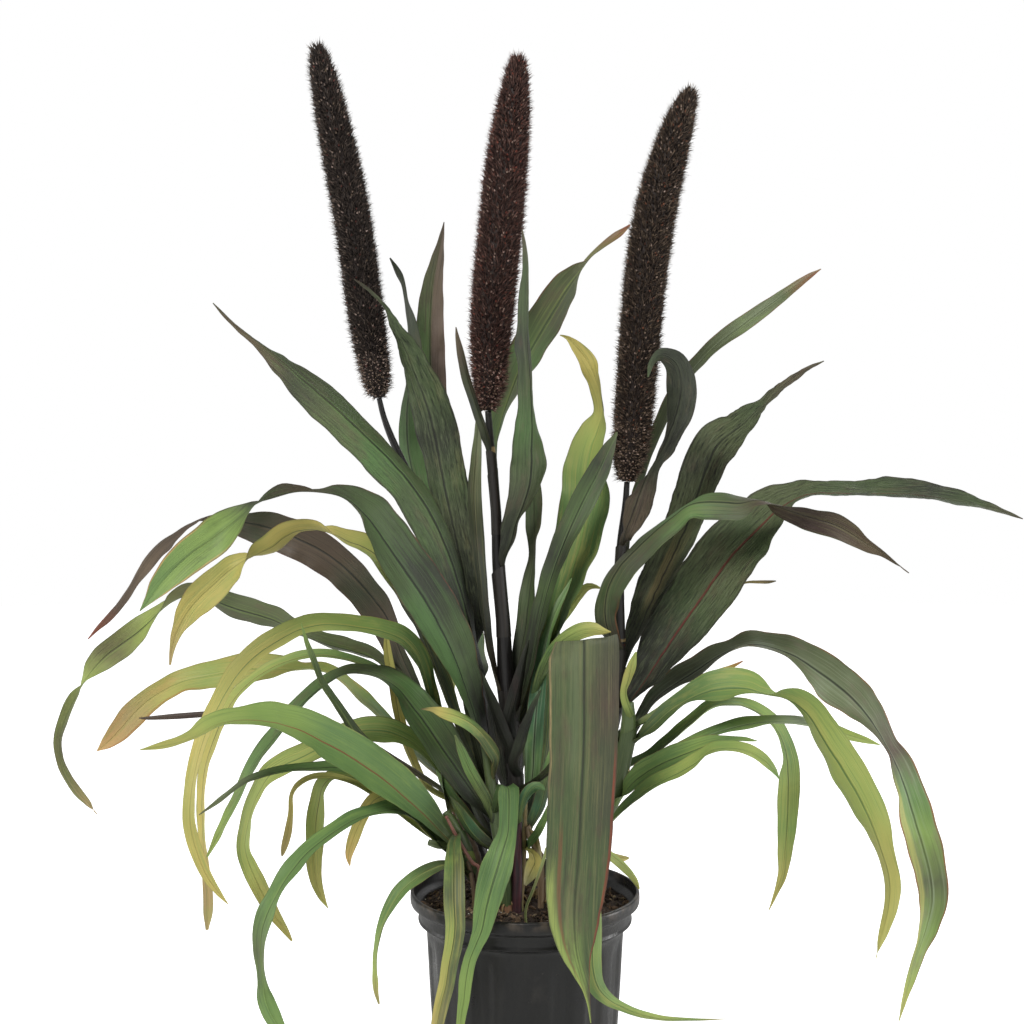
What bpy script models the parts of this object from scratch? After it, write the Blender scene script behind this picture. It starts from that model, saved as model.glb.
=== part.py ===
"""Potted ornamental pearl millet clump: a black nursery pot, the potting mix in
it, the stems that rise from the mix, three upright flower spikes and the
strap leaves that arch from the stems.

Metres, +Z up.  The origin is the centre of the pot's flat base on the ground.
"""
import math

import bmesh
import bpy
from mathutils import Vector

COLLECTION = "potted_millet_clump"

# ------------------------------------------------------------ driving sizes
MM = 0.001
RIM_D = 178.0          # outside diameter of the pot's lip
POT_H = 175.0          # height of the pot
TIER_D = 165.4         # band under the lip
WALL_TOP_D = 153.2     # top of the plain wall
BASE_D = 134.8         # outside diameter at the foot
WALL = 1.6             # wall thickness
SOIL_Z = 161.5         # surface of the potting mix
GAP = 0.35             # clearance kept between touching pieces
LEAF_T = 0.9           # blade thickness
COLLAR_W = 5.0         # width of a blade where it leaves its stem
POT_SIDES = 40
STEM_SIDES = 8
SPIKE_SIDES = 14

# The plant is drawn on a front elevation ruled in squares of SQUARE mm and seen
# from a standpoint STAND_D in front of the pot's axis at eye height EYE_Z, so a
# point further behind the axis is carried out along its line of sight.
SQUARE = 0.78
STAND_D = 1020.6
EYE_X = -10.14
EYE_Z = 468.0
MID = 512.0


def at(x, y, behind):
    """World position (mm) of a point of the elevation at a depth."""
    s = SQUARE * (STAND_D + behind) / STAND_D
    return Vector((EYE_X + (x - MID) * s, behind, EYE_Z + (MID - y) * s))


def sight(p):
    """Unit line of sight from the standpoint to a point (mm)."""
    return (p - Vector((EYE_X, -STAND_D, EYE_Z))).normalized()


# ---------------------------------------------------------------- the stems
# Each stem: points (across, down, behind) on the front elevation from the
# flower or collar at its top down towards the soil, then its foot on the
# soil (X mm, Y mm) and its radii in mm from the top to the foot.
STEMS = {
    "culm_centre": dict(
        pts=[(488, 411, 0), (491, 452, 0), (496, 512, 0), (498, 567, 0),
             (503, 620, 0), (506, 680, 0), (512, 740, 0), (517, 800, 0), (519, 850, 0)],
        foot=(-7.8, 1.0), r=[2.4, 3.2, 3.9, 4.4, 5.2, 6.6, 7.0, 5.6, 4.6, 4.6], tone="culm"),
    "culm_left": dict(
        pts=[(379, 398, 6), (384, 418, 8), (393, 441, 11), (410, 478, 18), (431, 525, 28),
             (452, 580, 36), (468, 640, 38), (480, 700, 36), (489, 760, 32), (496, 830, 25)],
        foot=(-19.0, 17.0), r=[2.0, 2.3, 2.8, 3.4, 3.8, 4.4, 5.0, 5.4, 5.4, 4.8, 4.6], tone="culm"),
    "culm_right": dict(
        pts=[(627, 482, 10), (625, 510, 13), (621, 545, 17), (618, 590, 21), (619, 640, 25),
             (617, 700, 28), (603, 760, 28), (580, 820, 24), (558, 870, 19)],
        foot=(15.0, 16.0), r=[2.2, 2.8, 3.4, 4.2, 5.0, 5.6, 5.4, 5.0, 4.6, 4.6], tone="culm"),
    "tiller_left_low": dict(
        pts=[(446, 812, -12), (455, 828, -11), (464, 848, -9), (473, 868, -6)],
        foot=(-32.0, -3.0), r=[3.0, 4.6, 5.6, 5.4, 5.0], tone="sheath"),
    "tiller_left_mid": dict(
        pts=[(428, 690, 44), (442, 720, 45), (457, 765, 46), (470, 815, 42), (480, 850, 38)],
        foot=(-27.0, 35.0), r=[2.6, 3.8, 4.6, 5.0, 5.0, 5.0], tone="culm"),
    "tiller_front": dict(
        pts=[(482, 738, -14), (487, 762, -16), (492, 795, -18), (498, 830, -19), (504, 866, -19)],
        foot=(-14.0, -18.0), r=[2.2, 3.2, 3.8, 4.2, 4.4, 4.4], tone="sheath"),
    "tiller_right": dict(
        pts=[(628, 702, -4), (628, 730, -6), (620, 775, -8), (603, 825, -9), (580, 866, -9)],
        foot=(23.0, -9.0), r=[4.6, 6.2, 6.0, 5.2, 5.0, 5.0], tone="sheath"),
    "tiller_right_low": dict(
        pts=[(607, 818, -38), (600, 832, -37), (588, 854, -34), (576, 876, -31)],
        foot=(33.0, -28.0), r=[3.0, 4.4, 4.6, 4.4, 4.2], tone="sheath"),
}

# --------------------------------------------------------------- the spikes
# (across, down, behind, half-width in mm) from the tip to the butt.
SPIKES = {
    "spike_left": dict(stem="culm_left", tone="spike", pts=[
        (317, 47, 0, 4.0), (319, 56, 0, 8.0), (324, 80, 0, 11.5), (331, 112, 0, 13.6), (341, 160, 1, 15.2),
        (350, 205, 2, 15.6), (357, 250, 3, 15.7), (363, 295, 4, 15.5), (369, 335, 5, 14.8), (374, 365, 5, 13.6),
        (377, 385, 6, 11.6), (378, 394, 6, 7.5)]),
    "spike_centre": dict(stem="culm_centre", tone="spike", pts=[
        (517, 58, -3, 4.5), (517, 68, -3, 8.6), (515, 90, -3, 12.2), (511, 125, -2, 15.6), (506, 170, -2, 17.6),
        (501, 220, -1, 18.4), (496, 270, -1, 18.4), (492, 315, 0, 17.8), (490, 350, 0, 16.6), (489, 380, 0, 14.6),
        (488, 398, 0, 11.5), (488, 407, 0, 7.5)]),
    "spike_right": dict(stem="culm_right", tone="spike", pts=[
        (691, 91, 2, 4.5), (687, 101, 2, 8.6), (679, 124, 2, 12.6), (668, 160, 3, 15.6), (658, 200, 4, 17.2),
        (649, 250, 5, 17.8), (643, 300, 6, 17.6), (639, 350, 7, 17.2), (635, 395, 8, 16.6), (632, 435, 9, 16.0),
        (629, 462, 10, 13.6), (628, 478, 10, 8.0)]),
}

# --------------------------------------------------------------- the leaves
# on     = the stem that carries the leaf, and the height on the elevation of
#          its collar, and the side of the stem it leaves by (degrees: 0 right,
#          90 back, 180 left, -90 front)
# W      = full width of the blade in mm
# turn   = which margin lies further back
# behind = depth behind the pot's axis in mm, evenly spaced from tip to collar
# pts    = (across, down, shown width) from the tip to the collar; a change of
#          sign in the shown width is a twist
LEAVES = {
    "leaf_left_high_1": dict(on=("culm_left", 702, -110), W=38, turn=1, behind=(-95, -80, -58, -42, -28, -8, 26), tone="dark", pts=[
        (213, 303, 1), (230, 320, 3), (248, 335, 5), (265, 348, 9), (283, 363, 19), (303, 381, 29), (328, 402, 36),
        (366, 438, 34), (402, 475, 34), (430, 515, 34), (450, 560, 32), (465, 610, 26), (476, 660, 16), (480, 702, 8)]),
    "leaf_left_high_2": dict(on=("culm_left", 655, -75), W=36, turn=-1, behind=(-28, -16, -2, 6, 12, 16, 26), tone="purple", pts=[
        (354, 279, 1), (370, 292, 3), (386, 309, 4), (394, 328, 11), (404, 345, 20), (412, 365, 26), (420, 385, 34), (427, 405, 40),
        (434, 430, 42), (440, 460, 40), (446, 490, 38), (455, 530, 34), (464, 570, 28), (470, 610, 20), (473, 655, 8)]),
    "leaf_left_high_3": dict(on=("culm_left", 640, 60), W=27, turn=1, behind=(78, 74, 70, 68, 64, 58, 48), tone="purple", pts=[
        (444, 222, 1), (441, 240, 6), (437, 262, 14), (433, 283, 20), (431, 305, 25), (430, 330, 28), (430, 360, 28),
        (431, 390, 27), (434, 430, 26), (440, 480, 24), (450, 540, 22), (462, 600, 14), (470, 640, 7)]),
    "leaf_left_high_4": dict(on=("culm_left", 585, 150), W=24, turn=-1, behind=(36, 40, 46, 50, 50, 48, 44), tone="dark", pts=[
        (390, 258, 1.5), (397, 270, 6), (402, 283, 4), (405, 300, 4), (409, 320, 9), (412, 345, 14), (411, 380, 16), (408, 410, 20),
        (408, 440, 24), (413, 470, 24), (424, 505, 20), (437, 545, 14), (450, 585, 6)]),
    "leaf_centre_top": dict(on=("culm_centre", 452, -130), W=9, turn=1, behind=(-30, -24, -18, -10, -6), tone="dark", pts=[
        (456, 327, 1), (458, 340, 5), (462, 358, 8), (467, 378, 9), (473, 397, 9), (479, 415, 9), (485, 432, 8), (489, 452, 6)]),
    "leaf_centre_strip": dict(on=("culm_centre", 690, 180), W=13, turn=1, behind=(10, 0, -6, -10, -8, -2), tone="green", pts=[
        (478, 405, 1.5), (478, 430, 7), (476, 460, 11), (474, 490, 14), (475, 520, 14), (478, 560, 12), (482, 600, 10), (487, 640, 8),
        (494, 690, 6)]),
    "leaf_centre_twist": dict(on=("culm_centre", 567, 0), W=30, turn=1, behind=(-44, -36, -30, -24, -14, -4), tone="dark", pts=[
        (522, 229, 1), (525, 245, 4), (527, 265, 6), (527, 290, 9), (526, 320, 11), (527, 350, 14), (529, 375, 15), (530, 400, 15),
        (531, 425, 21), (531, 450, 32), (531, 466, 36), (529, 485, 31), (523, 503, 24), (515, 523, 14), (511, 540, 14), (506, 555, 9), (502, 567, 5)]),
    "leaf_centre_back": dict(on=("culm_centre", 700, 20), W=16, turn=-1, behind=(10, 10, 10, 8, 5, 2), tone="dark", pts=[
        (531, 455, 2), (533, 475, 13), (534, 500, 17), (534, 520, 16), (534, 541, 7), (534, 557, 6), (531, 580, 13), (528, 605, 17), (525, 630, 16),
        (519, 660, 12), (513, 700, 6)]),
    "leaf_centre_right_high": dict(on=("culm_centre", 470, 30), W=33, turn=-1, behind=(44, 42, 40, 36, 30, 22, 6), tone="green", pts=[
        (630, 225, 2), (612, 240, 7), (598, 251, 5), (590, 258, 2.5), (578, 273, -14), (566, 290, -28), (555, 308, -34), (543, 328, -36), (530, 350, -34),
        (518, 373, -28), (509, 395, -22), (501, 418, -15), (496, 442, -9), (495, 470, -5)]),
    "leaf_centre_right_yellow": dict(on=("culm_centre", 745, 40), W=42, turn=-1, behind=(30, 26, 26, 26, 24, 20, 14, 6), tone="light", pts=[
        (560, 335, 1), (568, 338, 4), (577, 347, 12), (587, 360, 17), (595, 378, 13), (600, 395, 9), (602, 412, 10), (597, 430, 24), (590, 450, 34),
        (587, 475, 44), (587, 500, 50), (580, 540, 46), (571, 572, 40), (561, 605, 32), (550, 645, 24), (538, 690, 14), (521, 745, 6)]),
    "leaf_centre_right_dark": dict(on=("culm_centre", 722, -30), W=20, turn=-1, behind=(-2, -4, -6, -8, -9, -8), tone="dark", pts=[
        (617, 432, 2), (608, 450, 14), (599, 470, 22), (586, 495, 25), (574, 520, 23), (562, 548, 20), (553, 572, 18), (545, 600, 16),
        (538, 630, 14), (531, 665, 12), (523, 695, 9), (519, 722, 6)]),
    "leaf_centre_blue": dict(on=("culm_centre", 812, -20), W=14, turn=-1, behind=(-12, -12, -10, -8, -5, -3), tone="green", pts=[
        (572, 578, 1), (564, 592, 5), (556, 608, 8), (549, 628, 8), (543, 648, 9), (540, 668, 12), (537, 690, 15), (534, 715, 15), (532, 745, 16),
        (532, 770, 13), (529, 792, 8), (522, 812, 6)]),
    "leaf_centre_small": dict(on=("culm_centre", 775, -60), W=14, turn=1, behind=(-62, -56, -46, -34, -22, -9), tone="green", pts=[
        (611, 632, 1), (602, 631, 8), (592, 629, 15), (578, 632, 17), (560, 643, 13), (546, 664, 11), (536, 695, 9), (527, 735, 7), (519, 775, 5)]),
    "leaf_front_fold": dict(on=("culm_centre", 790, -85), W=50, turn=1, across=(1.0, -0.12, 0.0), tone="wide",
        behind=(-124, -124, -124, -123, -122, -119, -115, -108, -60, -12), pts=[
        (591, 1023, 1), (586, 994, 4), (582, 978, 12), (577, 962, 24), (573, 945, 36), (572, 925, 46), (573, 900, 56), (576, 870, 62), (578, 840, 65), (580, 800, 66),
        (582, 760, 67), (583, 720, 68), (584, 680, 70), (584, 652, 70), (582, 645, 66), (570, 658, 50), (551, 700, 30), (533, 745, 14), (519, 790, 6)]),
    "leaf_front_curl": dict(on=("tiller_right_low", 836, -120), W=22, turn=1, across=(0.9, 0.3, 0.0), tone="light",
        behind=(-66, -82, -98, -106, -107, -106, -98, -40), pts=[
        (726, 1019, 1), (700, 1020, 4), (665, 1019, 7), (640, 1014, 8), (622, 1007, 9), (608, 999, 13), (597, 986, 18), (592, 965, 24), (592, 940, 25),
        (591, 905, 24), (588, 872, 18), (588, 850, 10), (596, 838, 6)]),
    "leaf_right_flag": dict(on=("culm_right", 545, -70), W=26, turn=-1, behind=(-22, -18, -14, -10, -8, -6, 4), tone="dark", pts=[
        (648, 377, 1.5), (652, 363, 6), (662, 355, 14), (676, 364, 24), (681, 383, 30), (679, 405, 28), (672, 428, 20), (664, 447, 14), (655, 463, 8),
        (648, 476, 10), (642, 490, 20), (636, 506, 28), (631, 520, 22), (625, 535, 10), (622, 545, 4)]),
    "leaf_right_high_1": dict(on=("culm_right", 575, 60), W=18, turn=-1, behind=(110, 92, 72, 52, 38, 26), tone="green", pts=[
        (821, 269, 1), (808, 277, 6), (794, 287, 9), (778, 299, 12), (760, 312, 15), (740, 327, 16), (720, 342, 15), (700, 362, 13), (684, 382, 12),
        (672, 402, 12), (660, 430, 12), (650, 455, 10), (640, 490, 8), (630, 530, 7), (622, 575, 5)]),
    "leaf_right_high_2": dict(on=("culm_right", 668, 30), W=38, turn=-1, behind=(70, 62, 54, 46, 40, 36, 30), tone="dark", pts=[
        (824, 361, 1), (808, 369, 4), (793, 380, 7), (777, 392, 8), (766, 403, 8), (755, 412, 17), (742, 425, 27), (728, 435, 38), (716, 447, 44),
        (707, 465, 42), (700, 485, 40), (692, 510, 38), (682, 535, 36), (668, 565, 34), (654, 595, 30), (641, 625, 20), (630, 650, 12), (624, 668, 6)]),
    "leaf_right_purple": dict(on=("culm_right", 650, -100), W=28, turn=-1, behind=(-90, -66, -46, -30, -20, -12, -6, 6), tone="purple", pts=[
        (909, 573, 1), (895, 562, -3), (882, 552, -6), (868, 545, -13), (852, 534, -21), (835, 525, -25), (815, 519, -22), (795, 513, -17), (775, 506, -10),
        (758, 501, 6), (740, 504, 24), (722, 503, 29), (703, 503, 25), (688, 507, 15), (672, 519, 17), (655, 533, 20), (638, 550, 20), (625, 568, 19),
        (614, 592, 20), (611, 622, 14), (614, 650, 6)]),
    "leaf_right_big": dict(on=("culm_right", 712, -30), W=53, turn=-1, behind=(-60, -44, -24, -4, 8, 14, 18, 20), tone="dark", pts=[
        (1023, 519, 1), (1005, 513, 5), (985, 507, 9), (960, 501, 15), (930, 496, 20), (900, 493, 22), (870, 493, 20), (840, 493, 17), (815, 493, 14),
        (798, 497, 20), (782, 506, 34), (766, 520, 46), (748, 538, 56), (731, 556, 60), (715, 578, 62), (698, 602, 61), (682, 624, 58), (668, 645, 48),
        (653, 668, 36), (641, 686, 22), (631, 700, 12), (624, 712, 7)]),
    "leaf_right_arch_1": dict(on=("tiller_right", 738, 70), W=35, turn=-1, behind=(10, 30, 52, 66, 72, 70, 60, 44, 8), tone="dark", pts=[
        (899, 1021, 1), (904, 1000, 5), (911, 975, 9), (919, 950, 11), (927, 925, 20), (932, 900, 27), (930, 875, 32), (924, 850, 34), (915, 820, 33),
        (906, 790, 29), (897, 766, 22), (889, 750, 14), (880, 734, 16), (868, 716, 28), (852, 698, 38), (834, 683, 42), (815, 669, 36), (797, 657, 26),
        (778, 649, 18), (757, 644, 16), (738, 647, 11), (718, 656, 14), (700, 668, 20), (680, 681, 20), (662, 693, 15), (649, 707, 10), (640, 722, 8), (633, 738, 6)]),
    "leaf_right_arch_2": dict(on=("tiller_right", 742, -10), W=33, turn=-1, behind=(-130, -122, -106, -84, -62, -44, -28, -16, -8), tone="light", pts=[
        (876, 958, 1), (879, 945, -5), (884, 928, -10), (889, 905, -14), (890, 880, -16), (883, 853, -19), (874, 828, -26), (861, 800, -34), (845, 772, -35),
        (826, 742, -30), (812, 718, -26), (798, 704, -19), (784, 697, -9), (772, 695, 3), (760, 692, 14), (745, 688, 28), (728, 688, 34), (712, 690, 29),
        (698, 695, 19), (684, 702, 14), (668, 713, 16), (652, 728, 14), (638, 742, 6)]),
    "leaf_right_small": dict(on=("tiller_right", 728, 30), W=12, turn=-1, behind=(20, 14, 8, 2, -2), tone="light", pts=[
        (743, 661, 1), (732, 667, 4), (718, 674, 7), (702, 684, 9), (688, 695, 10), (672, 706, 10), (655, 716, 9), (638, 728, 6)]),
    "leaf_right_droop_1": dict(on=("tiller_right", 768, 55), W=20, turn=-1, behind=(58, 56, 50, 42, 30, 16, 4), tone="green", pts=[
        (769, 910, 1), (775, 895, 4), (782, 875, 9), (785, 850, 15), (787, 825, 19), (788, 800, 22), (788, 775, 20), (786, 752, 14), (779, 733, 11),
        (768, 719, 10), (752, 709, 9), (735, 704, 9), (715, 706, 8), (700, 715, 8), (685, 728, 9), (668, 742, 9), (650, 755, 8), (632, 768, 5)]),
    "leaf_right_low_1": dict(on=("tiller_right", 786, -5), W=16, turn=-1, behind=(-40, -30, -20, -14, -8), tone="green", pts=[
        (880, 745, 1), (865, 740, 7), (848, 735, 10), (830, 729, 10), (810, 724, 8), (790, 722, 8), (768, 722, 10), (745, 725, 12), (722, 731, 11),
        (700, 739, 9), (680, 749, 9), (660, 761, 9), (642, 773, 8), (627, 786, 5)]),
    "leaf_right_low_2": dict(on=("tiller_right", 804, -40), W=22, turn=-1, behind=(-78, -66, -54, -40, -26, -13), tone="green", pts=[
        (757, 741, 1), (740, 740, 4), (722, 742, 8), (705, 746, 14), (685, 754, 19), (663, 763, 21), (644, 774, 20), (630, 786, 14), (620, 804, 6)]),
    "leaf_right_low_3": dict(on=("tiller_right_low", 823, 0), W=18, turn=-1, behind=(-118, -100, -84, -66, -50, -38), tone="light", pts=[
        (779, 779, 1), (772, 768, 8), (760, 757, 10), (744, 750, 11), (726, 748, 10), (710, 751, 10), (697, 762, 12), (680, 772, 13), (662, 781, 13),
        (645, 791, 12), (628, 805, 8), (611, 823, 5)]),
    "leaf_left_wave": dict(on=("culm_left", 770, -150), W=42, turn=1, behind=(-150, -132, -112, -92, -72, -56, -42, -26, 14), tone="green", pts=[
        (140, 611, 1), (148, 601, 8), (160, 585, 22), (176, 568, 32), (193, 553, 36), (210, 541, 37), (226, 528, 32), (240, 516, 20), (252, 506, 5),
        (265, 499, -8), (280, 494, -11), (300, 491, -6), (320, 492, 4), (340, 495, 10), (356, 505, 20), (372, 522, 36), (388, 545, 43), (405, 570, 47),
        (424, 598, 49), (441, 628, 46), (454, 655, 38), (464, 682, 28), (473, 710, 18), (481, 740, 10), (486, 770, 6)]),
    "leaf_left_brown": dict(on=("tiller_left_mid", 740, 110), W=33, turn=1, behind=(60, 66, 74, 80, 80, 76, 68, 58), tone="purple", pts=[
        (88, 639, 1), (97, 629, 4), (108, 618, 7), (120, 603, 7), (130, 588, 7), (139, 573, 9), (150, 557, 13), (163, 543, 12), (176, 533, 7), (190, 524, 3),
        (208, 517, -5), (226, 516, -10), (243, 522, -24), (262, 526, -34), (281, 532, -37), (300, 540, -39), (320, 550, -38), (340, 564, -36), (358, 581, -34),
        (375, 601, -32), (388, 620, -28), (398, 646, -22), (408, 670, -20), (422, 697, -14), (436, 718, -9), (448, 740, -6)]),
    "leaf_left_yellow_arch": dict(on=("culm_left", 810, 170), W=29, turn=1, behind=(4, 8, 12, 16, 20, 24, 26, 24), tone="yellow", pts=[
        (170, 665, 2), (172, 650, 5), (177, 632, 11), (188, 612, 24), (200, 598, 32), (214, 585, 32), (228, 572, 26), (243, 561, 14), (258, 553, -16),
        (272, 546, -22), (285, 536, -20), (298, 530, -13), (315, 529, -9), (332, 533, 9), (348, 541, 17), (362, 546, 20), (378, 556, 23), (392, 575, 25), (405, 597, 23),
        (422, 635, 16), (440, 680, 12), (460, 735, 9), (480, 785, 6), (490, 810, 5)]),
    "leaf_left_long": dict(on=("tiller_left_mid", 760, 180), W=25, turn=1, behind=(140, 150, 156, 152, 138, 118, 96, 74, 52), tone="dark", pts=[
        (97, 814, 1), (88, 803, -6), (78, 792, -9), (68, 777, -8), (61, 760, -7), (59, 742, -8), (63, 724, -10), (70, 707, -11), (78, 692, -8), (84, 682, 4),
        (94, 668, 18), (107, 655, 26), (122, 644, 27), (138, 632, 24), (152, 619, 14), (163, 608, 5), (178, 598, -9), (196, 592, -12), (215, 600, -19),
        (232, 607, -24), (252, 613, -24), (272, 619, -20), (292, 628, -14), (312, 638, -11), (332, 645, -16), (352, 650, -13), (372, 657, -10), (392, 673, -9),
        (410, 695, -8), (430, 728, -7), (452, 760, -5)]),
    "leaf_left_light_arch": dict(on=("tiller_left_low", 838, 90), W=23, turn=1, behind=(-60, -72, -80, -82, -76, -58, -32, -4, 16, 16, 4), tone="light", pts=[
        (228, 904, 1), (218, 892, 6), (207, 876, 10), (199, 858, 12), (192, 835, 13), (190, 812, 12), (192, 788, 11), (197, 762, 12), (204, 738, 14), (214, 715, 15),
        (226, 692, 16), (238, 674, 18), (254, 657, 20), (274, 643, 20), (296, 631, 18), (318, 625, 19), (340, 625, 17), (362, 628, 17), (384, 632, 18),
        (404, 641, 20), (418, 658, 17), (427, 685, 13), (434, 720, 10), (442, 770, 8), (450, 815, 7), (458, 838, 5)]),
    "leaf_left_yellow": dict(on=("tiller_left_mid", 800, 140), W=28, turn=1, behind=(96, 100, 100, 98, 94, 90, 84, 62), tone="yellow", pts=[
        (97, 751, 1), (108, 742, 14), (120, 730, 22), (133, 715, 26), (147, 702, 24), (165, 690, 22), (185, 681, 22), (205, 677, 26), (227, 673, 30), (250, 669, 30),
        (272, 669, 24), (288, 669, 14), (300, 669, 7), (316, 669, 9), (332, 674, 9), (346, 685, 10), (360, 699, 12), (376, 713, 11), (395, 733, 9), (420, 760, 8),
        (445, 782, 7), (463, 800, 5)]),
    "leaf_left_needle": dict(on=("tiller_left_low", 836, -160), W=11, turn=1, behind=(-72, -60, -40, -24, -18, -12), tone="green", pts=[
        (301, 623, 1), (307, 643, 5), (314, 662, 6), (321, 682, 7), (331, 697, 7), (342, 714, 9), (353, 731, 11), (368, 748, 12), (388, 768, 11), (412, 792, 9),
        (436, 818, 7), (454, 836, 5)]),
    "leaf_left_blade": dict(on=("tiller_front", 822, 170), W=32, turn=1, behind=(-8, -6, -6, -10, -16, -20, -19, -15), tone="dark", pts=[
        (207, 857, 2), (213, 845, 5), (223, 826, 7), (234, 806, 9), (243, 787, 10), (251, 770, 12), (262, 753, 13), (275, 737, 13), (288, 722, 12), (301, 705, 11),
        (314, 693, 10), (330, 681, 9), (346, 673, 8), (364, 673, 10), (384, 679, 13), (400, 690, 22), (412, 705, 32), (425, 722, 36), (440, 744, 36), (455, 766, 33),
        (469, 787, 26), (482, 806, 16), (492, 822, 7)]),
    "leaf_left_green": dict(on=("tiller_left_low", 852, -120), W=36, turn=1, behind=(-160, -134, -108, -84, -64, -48, -38, -24), tone="green", pts=[
        (140, 750, 1), (160, 747, 7), (180, 742, 8), (198, 735, 10), (215, 725, 15), (237, 720, 20), (260, 720, 22), (282, 724, 27), (303, 731, 34), (324, 742, 38),
        (345, 753, 40), (365, 766, 40), (385, 780, 38), (405, 797, 32), (425, 815, 24), (441, 832, 15), (453, 844, 9), (462, 852, 6)]),
    "leaf_left_dark_narrow": dict(on=("tiller_left_low", 842, 150), W=13, turn=1, behind=(-34, -28, -14, 2, 6, -2), tone="dark", pts=[
        (199, 815, 1), (213, 805, 4), (228, 794, 5), (245, 782, 6), (263, 775, 7), (288, 770, 8), (315, 768, 9), (340, 768, 11), (362, 774, 12), (385, 788, 12),
        (410, 806, 10), (435, 824, 8), (459, 842, 5)]),
    "leaf_left_olive": dict(on=("tiller_left_mid", 828, 170), W=22, turn=1, behind=(58, 60, 62, 60, 54, 46, 40, 40), tone="yellow", pts=[
        (292, 941, 2), (285, 930, 7), (276, 917, 11), (267, 902, 15), (258, 884, 17), (250, 866, 16), (245, 848, 13), (247, 828, 12), (252, 808, 11), (260, 790, 13),
        (270, 775, 18), (284, 765, 22), (300, 758, 22), (320, 748, 22), (340, 738, 22), (362, 731, 24), (385, 731, 26), (405, 738, 20), (424, 752, 14), (445, 780, 9), (466, 828, 5)]),
    "leaf_left_hang_1": dict(on=("tiller_left_low", 856, 130), W=18, turn=1, behind=(30, 36, 40, 36, 26, 12, -3), tone="yellow", pts=[
        (328, 908, 1), (321, 895, 8), (316, 880, 12), (314, 862, 16), (315, 842, 18), (316, 822, 18), (319, 802, 15), (323, 786, 13), (335, 776, 12), (352, 777, 12),
        (374, 788, 11), (400, 806, 10), (430, 832, 7), (462, 858, 5)]),
    "leaf_left_hang_2": dict(on=("tiller_left_low", 862, 180), W=13, turn=1, behind=(-34, -28, -22, -16, -10, -8), tone="yellow", pts=[
        (350, 866, 1), (349, 855, 8), (353, 840, 12), (360, 823, 12), (368, 808, 13), (377, 798, 13), (390, 797, 10), (406, 808, 8), (426, 832, 7), (446, 851, 6), (464, 862, 5)]),
    "leaf_left_low": dict(on=("tiller_left_low", 877, -115), W=18, turn=1, behind=(-150, -144, -138, -128, -106, -76, -46, -24, -13), tone="green", pts=[
        (292, 1048, 1), (282, 1032, 12), (272, 1015, 19), (266, 1000, 16), (264, 985, -9), (262, 968, -6), (262, 950, -12), (263, 932, -18), (267, 915, 17), (275, 898, 13),
        (284, 882, 15), (295, 867, 17), (308, 852, 16), (323, 840, 14), (340, 828, 13), (358, 818, 12), (378, 812, 12), (398, 810, 14), (418, 818, 14), (436, 837, 10), (454, 859, 7), (472, 877, 5)]),
    "leaf_rim_left": dict(on=("tiller_left_low", 880, 172), W=14, turn=1, behind=(-66, -64, -60, -50, -38, -22, -6), tone="green", pts=[
        (379, 1004, 2), (376, 990, 5), (376, 970, 4), (377, 950, 4), (382, 928, 7), (391, 908, 11), (402, 891, 14), (416, 879, 15), (430, 871, 12), (445, 866, 8), (460, 869, 6), (476, 880, 5)]),
    "leaf_rim_front_1": dict(on=("tiller_left_low", 832, -85), W=19, turn=1, across=(1.0, 0.15, 0.0), tone="yellow",
        behind=(-92, -95, -97, -98, -98, -97, -90, -74, -30), pts=[
        (428, 1085, 1), (432, 1060, 7), (437, 1025, 13), (441, 1005, 15), (446, 985, 16), (449, 965, 17), (453, 945, 18), (455, 925, 20), (454, 900, 22), (454, 870, 20),
        (454, 848, 14), (456, 838, 9), (457, 832, 6)]),
    "leaf_rim_front_2": dict(on=("tiller_front", 812, -90), W=27, turn=1, across=(1.0, -0.2, 0.0), tone="green",
        behind=(-98, -100, -101, -102, -102, -100, -94, -84, -68, -48, -24), pts=[
        (455, 1075, 1), (458, 1048, 6), (461, 1020, 9), (464, 1000, 12), (466, 980, 14), (470, 960, 13), (476, 945, 14), (482, 930, 19), (486, 910, 25), (491, 890, 30),
        (497, 870, 33), (503, 850, 26), (508, 832, 19), (509, 812, 19), (509, 797, 22), (508, 787, 20), (502, 790, 12), (495, 812, 6)]),
    "leaf_front_yellow_tip": dict(on=("tiller_front", 780, 30), W=13, turn=1, behind=(-52, -46, -40, -32, -24, -17), tone="light", pts=[
        (421, 709, 1), (432, 709, 4), (442, 712, 11), (456, 716, 13), (470, 723, 12), (482, 734, 12), (492, 747, 13), (498, 758, 10), (496, 770, 6), (491, 780, 5)]),
    "leaf_left_yellow_hang": dict(on=("tiller_left_mid", 706, 178), W=14, turn=1, behind=(14, 18, 22, 28, 34, 38, 42, 44), tone="yellow", pts=[
        (207, 930, 3), (208, 912, 10), (208, 895, 10), (206, 870, 8), (203, 840, 7), (202, 800, 8), (205, 768, 10), (213, 742, 12), (224, 716, 12), (238, 694, 10),
        (258, 676, 9), (285, 662, 9), (318, 655, 9), (350, 660, 8), (380, 672, 8), (408, 688, 7), (433, 706, 5)]),
}
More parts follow.
